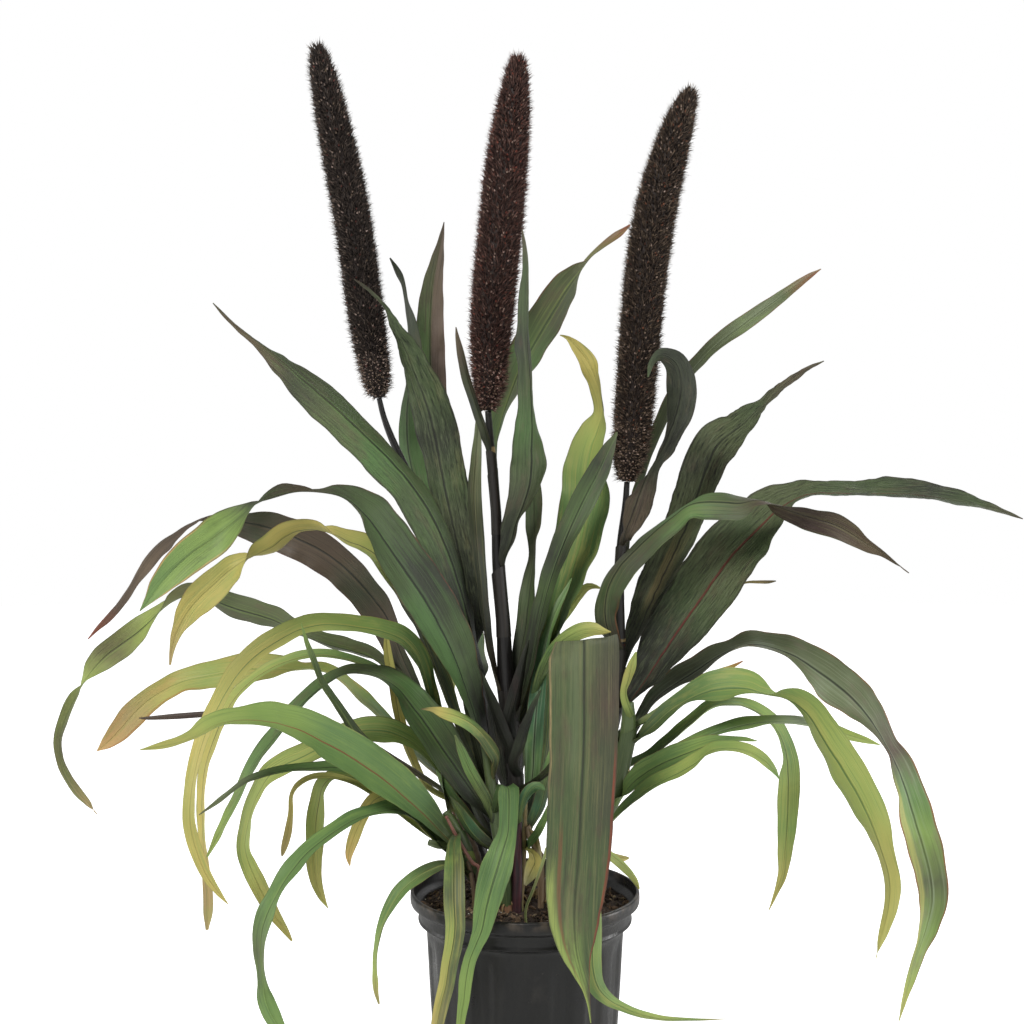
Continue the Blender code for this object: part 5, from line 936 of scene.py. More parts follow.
def add_sheath(mesh, spec, wrap, seed, side0):
    c, up, out, r = wrap
    stem = STEMS[spec["on"][0]]
    z0 = c.z
    length = min(z0 - SOIL_Z - 1.0, spec.get("sheath_len", 46.0 + 10 * (seed % 3)))
    if length < 6:
        return
    rows, cols = 14, 20
    deg = math.radians(spec["on"][2])
    lap = 0.42
    layer = 0.28 + 0.16 * (int(seed) % 4)
    rings = []
    for k in range(rows + 1):
        f = k / rows
        ring_o, ring_i = [], []
        for j in range(cols + 1):
            g_ = j / cols
            a = deg + (g_ - 0.5) * (math.tau - lap * (1 - f) ** 0.7)
            # the mouth stands highest where the blade leaves and slopes away behind
            back = abs(g_ - 0.5) * 2
            z = z0 + 1.5 - back ** 1.6 * 7.0 * (1 - f) - f * length
            cc, uu, rr = stem_point(stem, z)
            d = Vector((math.cos(a), math.sin(a), 0.0))
            d = (d - uu * d.dot(uu)).normalized()
            flare = 0.5 * (1 - f) ** 3
            rad = rr + layer * (1 - 0.55 * f) + flare
            uv = (g_, 0.06 * (1 - f))
            sp = ((g_ - 0.5) * r * 0.6, -f * length / 10)
            ring_o.append(mesh.vert(cc + d * rad, uv, sp))
            ring_i.append(mesh.vert(cc + d * (rad - 0.30), uv, sp))
        rings.append((ring_o, ring_i))
    for (o0, i0), (o1, i1) in zip(rings, rings[1:]):
        for j in range(cols):
            mesh.face(o0[j], o1[j], o1[j + 1], o0[j + 1], m=1)
            mesh.face(i0[j], i0[j + 1], i1[j + 1], i1[j], m=1)
        mesh.face(o0[0], i0[0], i1[0], o1[0], m=1)
        mesh.face(o0[cols], o1[cols], i1[cols], i0[cols], m=1)
    o, i = rings[0]
    for j in range(cols):
        mesh.face(o[j], o[j + 1], i[j + 1], i[j], m=1)
    o, i = rings[-1]
    for j in range(cols):
        mesh.face(o[j], i[j], i[j + 1], o[j + 1], m=1)


def sheath_material(name, dark):
    g = Graph("mat_wrap_" + name, 0.42)
    x, s, _ = g.split(g.uv("span"))
    st = g.noise(g.join(g.math("MULTIPLY", x, 12.0), g.math("MULTIPLY", s, 0.12), 2.0), 1.0, 3.0, 0.55, 4.0)
    a, b, c = ("161514", "26221f", "3a322c") if dark else ("33402a", "4c5a38", "6c7350")
    g.put(g.bsdf.inputs["Base Color"], g.ramp(st, [(0.28, a), (0.55, b), (0.78, c)]))
    g.put(g.bsdf.inputs["Normal"], g.bump(st, 0.5, 0.0005))
    return g.mat


WRAPS = {}


def sheath_mats(spec):
    if "on" not in spec or not spec.get("sheath", True):
        return []
    dark = STEMS[spec["on"][0]]["tone"] == "culm"
    if dark not in WRAPS:
        WRAPS[dark] = sheath_material("dark" if dark else "green", dark)
    return [WRAPS[dark]]


def build_leaves():
    made = []
    for k, (name, spec) in enumerate(LEAVES.items()):
        look = look_of(name, spec["tone"])
        m = Mesh()
        add_leaf(m, spec, float(k + 1), crinkle=0.45 * look.get("crinkle", 0.0))
        ob = m.make("blade_" + name[5:], [leaf_material(name, look, float(k + 1))] + sheath_mats(spec), sharp=60)
        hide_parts(name)
        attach(ob, "root")
        made.append(ob)
    for k, (name, spec) in enumerate(SMALL.items()):
        look = look_of(name, spec["tone"])
        m = Mesh()
        add_leaf(m, spec, float(k + 61), thick=0.36, wavy=0.6)
        ob = m.make(name, [leaf_material(name, look, float(k + 61))], sharp=60)
        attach(ob, "root")
        made.append(ob)
    return made


# ---------------------------------------------------------------------- pot
FLUTES = 16


def pot_radius_offset(z, a):
    """Shallow upright flutes pressed into the wall under the stepped band."""
    if z > POT_H - 31.0 or z < 6.0:
        return 0.0
    end = step01((POT_H - 31.0 - z) / 10.0) * step01((z - 6.0) / 10.0)
    c = 0.5 + 0.5 * math.cos(FLUTES * a + 0.6)
    return -1.5 * end * step01((c - 0.30) / 0.45)


def build_pot():
    rim, tier, top, base = RIM_D / 2, TIER_D / 2, WALL_TOP_D / 2, BASE_D / 2
    t = WALL
    outer = [(rim - 2.4, POT_H - 0.1), (rim - 1.5, POT_H), (rim - 0.6, POT_H - 0.3), (rim - 0.1, POT_H - 1.2), (rim, POT_H - 2.4),
             (rim + 0.1, POT_H - 5.0), (rim, POT_H - 7.6), (rim - 0.4, POT_H - 8.8), (rim - 1.4, POT_H - 9.6),
             (tier + 1.6, POT_H - 11.4), (tier + 0.7, POT_H - 12.6), (tier + 0.2, POT_H - 13.8), (tier, POT_H - 16.0),
             (tier - 0.3, POT_H - 19.0), (tier - 0.2, POT_H - 20.6), (tier + 0.4, POT_H - 21.4), (tier + 0.3, POT_H - 22.2),
             (tier - 0.9, POT_H - 22.9), (top + 2.0, POT_H - 25.4), (top + 0.9, POT_H - 27.4), (top + 0.3, POT_H - 29.4)]
    z = POT_H - 31.0
    while z > 8.0:
        f = (POT_H - 31.0 - z) / (POT_H - 31.0)
        outer.append((top + (base + 0.6 - top) * f, z))
        z -= 5.2
    outer += [(base + 0.7, 5.0), (base + 0.5, 2.4), (base - 0.2, 0.8), (base - 1.6, 0.0)]
    inner = [(base - t - 1.6, 2.2), (base - t, 4.6), (top - t, POT_H - 30.4), (top + 0.8 - t, POT_H - 28.4),
             (tier - 1.8 - t, POT_H - 23.2), (tier - 0.9 - t, POT_H - 21.8), (tier - 0.4 - t, POT_H - 13.2),
             (tier + 0.6 - t, POT_H - 11.4), (rim - 2.0 - t, POT_H - 9.2), (rim - 1.2 - t, POT_H - 7.6),
             (rim - 1.1 - t, POT_H - 1.4), (rim - 2.4, POT_H - 0.1)]
    sides = 192
    m = Mesh()
    prof = outer + [(0.0, 0.0)] + [(0.0, 2.2)] + inner[:-1]
    rows = []
    run = 0.0
    for k, (r, z) in enumerate(prof):
        if k:
            run += math.hypot(r - prof[k - 1][0], z - prof[k - 1][1])
        if r == 0.0:
            rows.append([m.vert((0, 0, z), (0.5, run / 500), (0, run / 10))] * sides)
            continue
        row = []
        for j in range(sides):
            a = math.tau * j / sides
            rr = r + (pot_radius_offset(z, a) if k < len(outer) else 0.0)
            rr += 0.25 * grain(math.cos(a) * 2.2, math.sin(a) * 2.2, z / 40.0) * (1 if z > 6 else 0)
            zz = z + (0.5 * grain(math.cos(a) * 1.1, math.sin(a) * 1.1, 7.0) if z > POT_H - 12 else 0.0)
            row.append(m.vert((rr * math.cos(a), rr * math.sin(a), min(zz, POT_H)), (j / sides, run / 500), (a * r / 10, run / 10)))
        rows.append(row)
    rows.append(rows[0])
    for a, b in zip(rows, rows[1:]):
        for j in range(sides):
            q = [a[j], a[(j + 1) % sides], b[(j + 1) % sides], b[j]]
            q = [v for i, v in enumerate(q) if v not in q[:i]]
            if len(q) > 2:
                m.face(*q[::-1])
    g = Graph("mat_pot", 0.42)
    p = g.obj()
    x, y, z = g.split(p)
    dust = g.noise(p, 28.0, 5.0, 0.62, 1.0)
    fine = g.noise(p, 420.0, 3.0, 0.5, 2.0)
    smear = g.noise(g.scale(p, (30.0, 30.0, 5.0)), 1.0, 4.0, 0.6, 3.0)
    col = g.mix(g.band(smear, 0.44, 0.62, 0.0, 0.85), "0f0f0e", "22211f")
    col = g.mix(g.band(dust, 0.58, 0.80, 0.0, 0.30), col, "4a4640")
    col = g.mix(g.math("MULTIPLY", g.band(fine, 0.66, 0.76), g.band(dust, 0.50, 0.70, 0.0, 0.5)), col, "6b675e")
    # soil dust along the lip
    lip = g.math("MULTIPLY", g.band(z, 0.166, 0.174), g.band(g.noise(p, 90.0, 4.0, 0.6, 6.0), 0.44, 0.62))
    col = g.mix(g.math("MULTIPLY", lip, 0.6), col, "5a4f44")
    g.put(g.bsdf.inputs["Base Color"], col)
    g.put(g.bsdf.inputs["Roughness"], g.band(g.math("ADD", g.math("MULTIPLY", dust, 0.7), g.math("MULTIPLY", fine, 0.3)), 0.35, 0.65, 0.26, 0.48))
    g.bsdf.inputs["Specular IOR Level"].default_value = 0.4
    g.put(g.bsdf.inputs["Normal"], g.bump(g.math("ADD", fine, g.math("MULTIPLY", smear, 0.8)), 0.25, 0.0006))
    ob = m.make("pot_body", [g.mat], sharp=50)
    # drain holes through the foot
    cut = []
    for k in range(6):
        a = math.radians(60 * k + 30)
        bm = bmesh.new()
        bmesh.ops.create_cone(bm, cap_ends=True, segments=24, radius1=0.006, radius2=0.006, depth=0.012)
        bmesh.ops.translate(bm, verts=bm.verts, vec=(0.05 * math.cos(a), 0.05 * math.sin(a), 0.001))
        me = bpy.data.meshes.new("cut")
        bm.to_mesh(me)
        bm.free()
        c = bpy.data.objects.new("cut_%d" % k, me)
        bpy.context.scene.collection.objects.link(c)
        cut.append(c)
        md = ob.modifiers.new("drain", "BOOLEAN")
        md.operation = "DIFFERENCE"
        md.solver = "EXACT"
        md.object = c
    bpy.context.view_layer.update()
    dg = bpy.context.evaluated_depsgraph_get()
    done = bpy.data.meshes.new_from_object(ob.evaluated_get(dg))
    ob.modifiers.clear()
    ob.data = done
    for c in cut:
        bpy.data.objects.remove(c, do_unlink=True)
    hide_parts("nursery_pot")
    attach(ob, "root")
    return ob


# --------------------------------------------------------------------- soil
def soil_height(x, y):
    r = math.hypot(x, y)
    h = SOIL_Z - 0.3 + 1.6 * grain(x / 17.0, y / 17.0, 3.0) + 0.9 * grain(x / 6.0, y / 6.0, 8.0)
    h += 1.8 * math.exp(-((x - 2) ** 2 + (y - 4) ** 2) / 900.0)
    return h + 0.7 * step01((r - 66) / 12)


def chunk(m, c, size, rnd, flat=0.6, mi=0, shade=0.5):
    """One crumb of bark or peat: a crooked closed lump."""
    ax = Vector((rnd.uniform(-1, 1), rnd.uniform(-1, 1), rnd.uniform(-0.5, 0.5))).normalized()
    ay = ax.orthogonal().normalized()
    ay.rotate(Matrix.Rotation(rnd.uniform(0, math.tau), 3, ax))
    az = ax.cross(ay)
    lx, ly, lz = size * rnd.uniform(0.7, 1.5), size * rnd.uniform(0.5, 0.9), size * flat * rnd.uniform(0.4, 0.9)
    ids = []
    for sx, sy, sz in ((-1, 0, 0), (1, 0, 0), (0, -1, 0), (0, 1, 0), (0, 0, -1), (0, 0, 1)):
        j = 1 + rnd.uniform(-0.25, 0.25)
        ids.append((sx * j, sy * j, sz * j))
    mids = {}
    base = [m.vert(c + ax * a * lx + ay * b * ly + az * d * lz, shade=shade) for a, b, d in ids]
    faces = [(0, 4, 2), (0, 2, 5), (0, 5, 3), (0, 3, 4), (1, 2, 4), (1, 5, 2), (1, 3, 5), (1, 4, 3)]

    def mid(i, j):
        key = (min(i, j), max(i, j))
        if key not in mids:
            a = [(ids[i][k] + ids[j][k]) * rnd.uniform(0.56, 0.78) for k in range(3)]
            mids[key] = m.vert(c + ax * a[0] * lx + ay * a[1] * ly + az * a[2] * lz, shade=shade)
        return mids[key]
    for i, j, k in faces:
        a, b, d = mid(i, j), mid(j, k), mid(k, i)
        for q in ((base[i], a, d), (base[j], b, a), (base[k], d, b), (a, b, d)):
            m.face(*q, m=mi)


def build_soil():
    m = Mesh()
    rings, sides = 44, 150
    edge = 82.2
    rows = [[m.vert((0, 0, soil_height(0, 0)))] * sides]
    for k in range(1, rings + 1):
        r = edge * k / rings
        row = []
        for j in range(sides):
            a = math.tau * j / sides
            x, y = r * math.cos(a), r * math.sin(a)
            row.append(m.vert((x, y, soil_height(x, y))))
        rows.append(row)
    for r, z in ((80.2, POT_H - 20.0), (77.6, POT_H - 24.0), (75.0, POT_H - 30.6), (65.4, 4.8), (63.4, 2.6)):
        rows.append([m.vert((r * math.cos(math.tau * j / sides), r * math.sin(math.tau * j / sides), z)) for j in range(sides)])
    rows.append([m.vert((0, 0, 2.6))] * sides)
    for a, b in zip(rows, rows[1:]):
        for j in range(sides):
            q = [a[j], a[(j + 1) % sides], b[(j + 1) % sides], b[j]]
            q = [v for i, v in enumerate(q) if v not in q[:i]]
            if len(q) > 2:
                m.face(*q[::-1])
    g = Graph("mat_soil", 0.95)
    p = g.obj()
    a = g.noise(p, 240.0, 5.0, 0.7, 1.0)
    b = g.noise(p, 60.0, 4.0, 0.6, 2.0)
    col = g.ramp(a, [(0.30, "1a1511"), (0.50, "3a2d24"), (0.66, "574636"), (0.80, "735f4a")])
    col = g.mix(g.band(b, 0.5, 0.7, 0.0, 0.5), col, "1a1410")
    v = g.voronoi(p, 300.0)
    col = g.mix(g.band(v[0], 0.12, 0.02, 0.0, 0.35), col, "7d6a55")
    g.put(g.bsdf.inputs["Base Color"], col)
    g.put(g.bsdf.inputs["Normal"], g.bump(g.math("ADD", a, b), 1.0, 0.0015))
    ob = m.make("mix_body", [g.mat])
    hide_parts("potting_mix")
    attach(ob, "root")
    # crumbs and chips on the surface
    rnd = random.Random(11)
    feet = [Vector((*s["foot"], 0)) for s in STEMS.values()]
    kinds = (("crumb_dark", "261e19", "4a3b2f", 1050, 0.9, 2.6), ("crumb_brown", "4c3b2d", "77604a", 520, 0.9, 3.2),
             ("chip_pale", "7d6a52", "a8967c", 90, 0.7, 2.3), ("grit_white", "a9a59a", "cfccc2", 34, 0.5, 1.3))
    m = Mesh()
    mats = []
    for mi, (label, c0, c1, count, lo, hi) in enumerate(kinds):
        g = Graph("mat_" + label, 0.9)
        p = g.obj()
        n = g.noise(p, 330.0, 4.0, 0.6, mi + 1.0)
        g.put(g.bsdf.inputs["Base Color"], g.ramp(n, [(0.35, c0), (0.65, c1)]))
        g.put(g.bsdf.inputs["Normal"], g.bump(n, 0.7, 0.0008))
        mats.append(g.mat)
        for _ in range(count):
            r = 80.5 * math.sqrt(rnd.random())
            a = rnd.uniform(0, math.tau)
            x, y = r * math.cos(a), r * math.sin(a)
            size = rnd.uniform(lo, hi) * (1.0 if rnd.random() < 0.9 else 1.5)
            if any((f - Vector((x, y, 0))).length < 4.5 for f in feet):
                continue
            chunk(m, Vector((x, y, soil_height(x, y) + size * 0.25)), size, rnd, mi=mi)
    ob = m.make("mix_crumbs", mats, smooth=False)
    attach(ob, "root")


# -------------------------------------------------------------------- culms
NODES = {"culm_centre": [451], "culm_left": [620], "culm_right": [640],
         "tiller_left_low": [852], "tiller_left_mid": [735, 815], "tiller_front": [795], "tiller_right": [770], "tiller_right_low": [842]}


def culm_material(name, dark):
    g = Graph("mat_" + name, 0.36)
    u, v, _ = g.split(g.uv("blade"))
    x, s, _ = g.split(g.uv("span"))
    st = g.noise(g.join(g.math("MULTIPLY", x, 9.0), g.math("MULTIPLY", s, 0.10), 1.0), 1.0, 3.0, 0.55, 2.0)
    bl = g.noise(g.join(g.math("MULTIPLY", x, 1.4), g.math("MULTIPLY", s, 0.35), 4.0), 1.0, 4.0, 0.6, 5.0)
    if dark:
        run = [(0.0, "141211"), (0.45, "151313"), (0.72, "171413"), (0.86, "33272a"), (0.95, "5d4238"), (1.0, "7a5c46")]
    else:
        run = [(0.0, "53643c"), (0.35, "4a5636"), (0.62, "5b4c38"), (0.82, "6a4236"), (1.0, "806048")]
    col = g.ramp(g.math("ADD", v, g.math("MULTIPLY", g.math("SUBTRACT", bl, 0.5), 0.12)), run)
    col = g.mix(g.band(st, 0.52, 0.72, 0.0, 0.35), col, "322c28" if dark else "8a7f58")
    col = g.mix(g.band(st, 0.46, 0.30, 0.0, 0.45), col, "0f0d0d" if dark else "2f2c20")
    ring = g.attr("shade")
    col = g.mix(g.math("MULTIPLY", g.band(ring, 0.62, 0.85), g.band(bl, 0.38, 0.60, 0.35, 1.0)), col, "b39a6a")
    col = g.mix(g.math("MULTIPLY", g.band(ring, 0.38, 0.15), 0.8), col, "6b3325")
    g.put(g.bsdf.inputs["Base Color"], col)
    g.put(g.bsdf.inputs["Roughness"], g.band(st, 0.3, 0.7, 0.30, 0.48))
    g.put(g.bsdf.inputs["Normal"], g.bump(st, 0.5, 0.0005))
    return g.mat


def build_stem(name, spec):
    pts, radii = stem_course(spec)
    ys = [p[1] for p in spec["pts"]]
    for foot in pts[-2:]:
        s = SQUARE * (STAND_D + foot.y) / STAND_D
        ys.append(MID - (foot.z - EYE_Z) / s)
    n = len(pts)
    fine, run = [], 0.0
    steps = 14
    for k in range((n - 1) * steps + 1):
        t = k / steps
        i = min(int(t), n - 2)
        f = t - i
        p = catmull(pts, t) if i < n - 3 else pts[i].lerp(pts[i + 1], f)
        fine.append((p, radii[i] + (radii[i + 1] - radii[i]) * f, ys[i] + (ys[i + 1] - ys[i]) * f))
    total = sum((b[0] - a[0]).length for a, b in zip(fine, fine[1:]))
    m = Mesh()
    sides = 24
    rows = []
    ref = Vector((0, 1, 0))
    for k, (p, r, y) in enumerate(fine):
        if k:
            run += (p - fine[k - 1][0]).length
        tan = (fine[min(k + 1, len(fine) - 1)][0] - fine[max(k - 1, 0)][0]).normalized()
        ax = (ref - tan * ref.dot(tan)).normalized()
        ay = tan.cross(ax)
        shade = 0.5
        swell = 0.0
        for ny in NODES.get(name, []):
            d = (y - ny) / 1.0
            swell += 0.45 * math.exp(-(d / 5.0) ** 2) - 0.28 * math.exp(-((d + 7.5) / 2.2) ** 2)
            if abs(d) < 2.2:
                shade = 0.9
            elif 2.2 <= d < 6.5:
                shade = 0.2
        foot = step01((run - total + 9.0) / 9.0)
        row = []
        for j in range(sides):
            a = math.tau * j / sides
            rr = r + swell + foot * (1.3 + 0.8 * grain(math.cos(a) * 1.6, math.sin(a) * 1.6, r))
            rr += 0.10 * math.cos(9 * a + 2 * grain(run / 60.0, 1.0)) + 0.18 * grain(math.cos(a), math.sin(a), run / 30.0)
            q = p + ax * (rr * math.cos(a)) + ay * (rr * math.sin(a))
            row.append(m.vert(q, (j / sides, run / total), (a * r / 10, run / 10), shade))
        rows.append(row)
    for a, b in zip(rows, rows[1:]):
        for j in range(sides):
            m.face(a[j], a[(j + 1) % sides], b[(j + 1) % sides], b[j])
    m.face(*rows[0][::-1])
    m.face(*rows[-1])
    ob = m.make("stalk_" + name, [culm_material(name, spec["tone"] == "culm")])
    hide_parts(name)
    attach(ob, "root")


def build_roots():
    """Short brace roots that reach from the stem bases into the mix."""
    rnd = random.Random(5)
    m = Mesh()
    for name, count in (("culm_centre", 7), ("culm_right", 5), ("culm_left", 3), ("tiller_front", 4), ("tiller_right", 4), ("tiller_left_low", 4), ("tiller_left_mid", 2)):
        fx, fy = STEMS[name]["foot"]
        r0 = STEMS[name]["r"][-1]
        for k in range(count):
            a = -math.pi / 2 + rnd.uniform(-1.9, 1.9)
            d = Vector((math.cos(a), math.sin(a), 0))
            start = Vector((fx, fy, SOIL_Z + rnd.uniform(5.0, 9.0))) + d * (r0 * 0.8)
            reach = rnd.uniform(3.0, 6.5)
            end = Vector((fx, fy, 0)) + d * (r0 + reach)
            end.z = soil_height(end.x, end.y) - 2.0
            rad = rnd.uniform(0.7, 1.15)
            rows = []
            for i in range(9):
                f = i / 8
                p = start.lerp(end, f) + Vector((0, 0, 2.2 * math.sin(math.pi * f))) + d * (0.8 * math.sin(math.pi * f))
                rr = rad * (1 - 0.25 * f) + 0.12 * grain(i * 0.9, k, fx)
                side = d.cross(Vector((0, 0, 1)))
                rows.append([m.vert(p + side * rr * math.cos(math.tau * j / 10) + (d + Vector((0, 0, 0.7))).normalized() * rr * math.sin(math.tau * j / 10), shade=f) for j in range(10)])
            for q0, q1 in zip(rows, rows[1:]):
                for j in range(10):
                    m.face(q0[j], q0[(j + 1) % 10], q1[(j + 1) % 10], q1[j])
            m.face(*rows[0][::-1])
            m.face(*rows[-1])
    g = Graph("mat_roots", 0.6)
    n = g.noise(g.obj(), 260.0, 4.0, 0.6, 1.0)
    col = g.ramp(g.attr("shade"), [(0.0, "6a4a38"), (0.30, "8d7549"), (0.65, "a08a5e"), (1.0, "4a382b")])
    col = g.mix(g.band(n, 0.5, 0.7, 0.0, 0.6), col, "5a3d2c")
    g.put(g.bsdf.inputs["Base Color"], col)
    g.put(g.bsdf.inputs["Normal"], g.bump(n, 0.4, 0.0005))
    ob = m.make("brace_roots", [g.mat])
    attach(ob, "root")


STALKS = {
    "stalk_pink_left": (((446, 816, -26), (452, 828, -26), (462, 846, -25), (472, 862, -24), (480, 872, -23)), (1.2, 1.3, 1.4, 1.4, 1.3), "96685a", "5f3a30"),
    "stalk_pink_left_b": (((452, 812, -8), (460, 838, -10), (468, 862, -12), (474, 890, -14)), (1.6, 1.8, 1.9, 1.9), "6f5f45", "4d3a30"),
    "stalk_tan_mid": (((524, 792, -8), (524, 815, -8), (523, 840, -9), (523, 866, -12), (521, 900, -18)), (2.6, 2.9, 2.8, 2.5, 2.2), "8b8a58", "8f7350"),
    "stalk_red_mid": (((518, 800, -16), (518, 830, -17), (518, 860, -18), (517, 905, -21)), (3.0, 3.4, 3.6, 3.9), "241a1e", "4a2228"),
    "stalk_pale_right": (((547, 848, -52), (541, 868, -50), (533, 890, -47), (526, 909, -45)), (1.3, 1.2, 1.1, 1.0), "7f9458", "a8a470"),
    "stalk_tan_right": (((527, 826, -10), (531, 838, -10), (537, 850, -10), (541, 858, -10), (541, 864, -10)), (2.6, 3.0, 3.0, 2.8, 2.6), "b09a7e", "7f6850"),
    "stalk_brown_base": (((461, 818, -2), (467, 838, -4), (474, 858, -5), (482, 896, -8)), (4.2, 5.2, 5.6, 5.6), "5f4f3d", "43382c"),
    "stalk_dark_base": (((500, 812, 2), (501, 838, 2), (503, 866, 1), (505, 900, 0)), (3.6, 4.2, 4.6, 4.8), "2f2c22", "3d3a2a"),
    "stalk_back_right": (((610, 818, 10), (604, 840, 8), (592, 862, 6), (584, 880, 5)), (2.2, 2.4, 2.6, 2.6), "4a4a34", "5a4a3a"),
}


def build_stalks():
    """Stray stems and stubs at the heart of the clump."""
    for name, (pts, rad, c0, c1) in STALKS.items():
        m = Mesh()
        line = [at(*p) for p in pts]
        line.append(Vector((line[-1].x, line[-1].y, min(line[-1].z - 2, SOIL_Z - 2.0))))
        rads = list(rad) + [rad[-1]]
        n = len(line)
        rows = []
        ax = Vector((0, 1, 0))
        for k in range((n - 1) * 10 + 1):
            t = k / 10
            i = min(int(t), n - 2)
            p = catmull(line, t)
            tan = (catmull(line, min(t + 0.05, n - 1.0)) - catmull(line, max(t - 0.05, 0.0))).normalized()
            ax = (ax - tan * ax.dot(tan)).normalized()
            ay = tan.cross(ax)
            r = rads[i] + (rads[i + 1] - rads[i]) * (t - i)
            r *= 1 + 0.12 * grain(k * 0.5, r * 3)
            rows.append([m.vert(p + ax * (r * math.cos(math.tau * j / 14)) + ay * (r * math.sin(math.tau * j / 14)), (j / 14, t / (n - 1)), (j / 5, k / 4)) for j in range(14)])
        for a, b in zip(rows, rows[1:]):
            for j in range(14):
                m.face(a[j], b[j], b[(j + 1) % 14], a[(j + 1) % 14])
        m.face(*rows[0])
        m.face(*rows[-1][::-1])
        g = Graph("mat_" + name, 0.5)
        x, s, _ = g.split(g.uv("span"))
        n_ = g.noise(g.join(g.math("MULTIPLY", x, 3.0), g.math("MULTIPLY", s, 0.4), 0.0), 1.0, 3.0, 0.6, 1.0)
        g.put(g.bsdf.inputs["Base Color"], g.ramp(n_, [(0.35, c1), (0.62, c0)]))
        g.put(g.bsdf.inputs["Normal"], g.bump(n_, 0.4, 0.0004))
        ob = m.make(name, [g.mat])
        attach(ob, "root")


# ------------------------------------------------------------------- spikes
SPIKE_LOOK = {
    "spike_left": dict(core="161211", grain0="1e1917", grain1="453a36", fleck="c6aea4", hint="7a4a44", pale=0.125, warm=0.06, awn0="221c1a", awn1="8a7a6e"),
    "spike_centre": dict(core="1f1412", grain0="2a1b18", grain1="5e3f37", fleck="cdaea2", hint="9a5648", pale=0.130, warm=0.11, awn0="33221e", awn1="a88074"),
    "spike_right": dict(core="1b1411", grain0="211a17", grain1="4a3a30", fleck="c6ada0", hint="93604a", pale=0.125, warm=0.08, awn0="281f1b", awn1="98836e"),
}


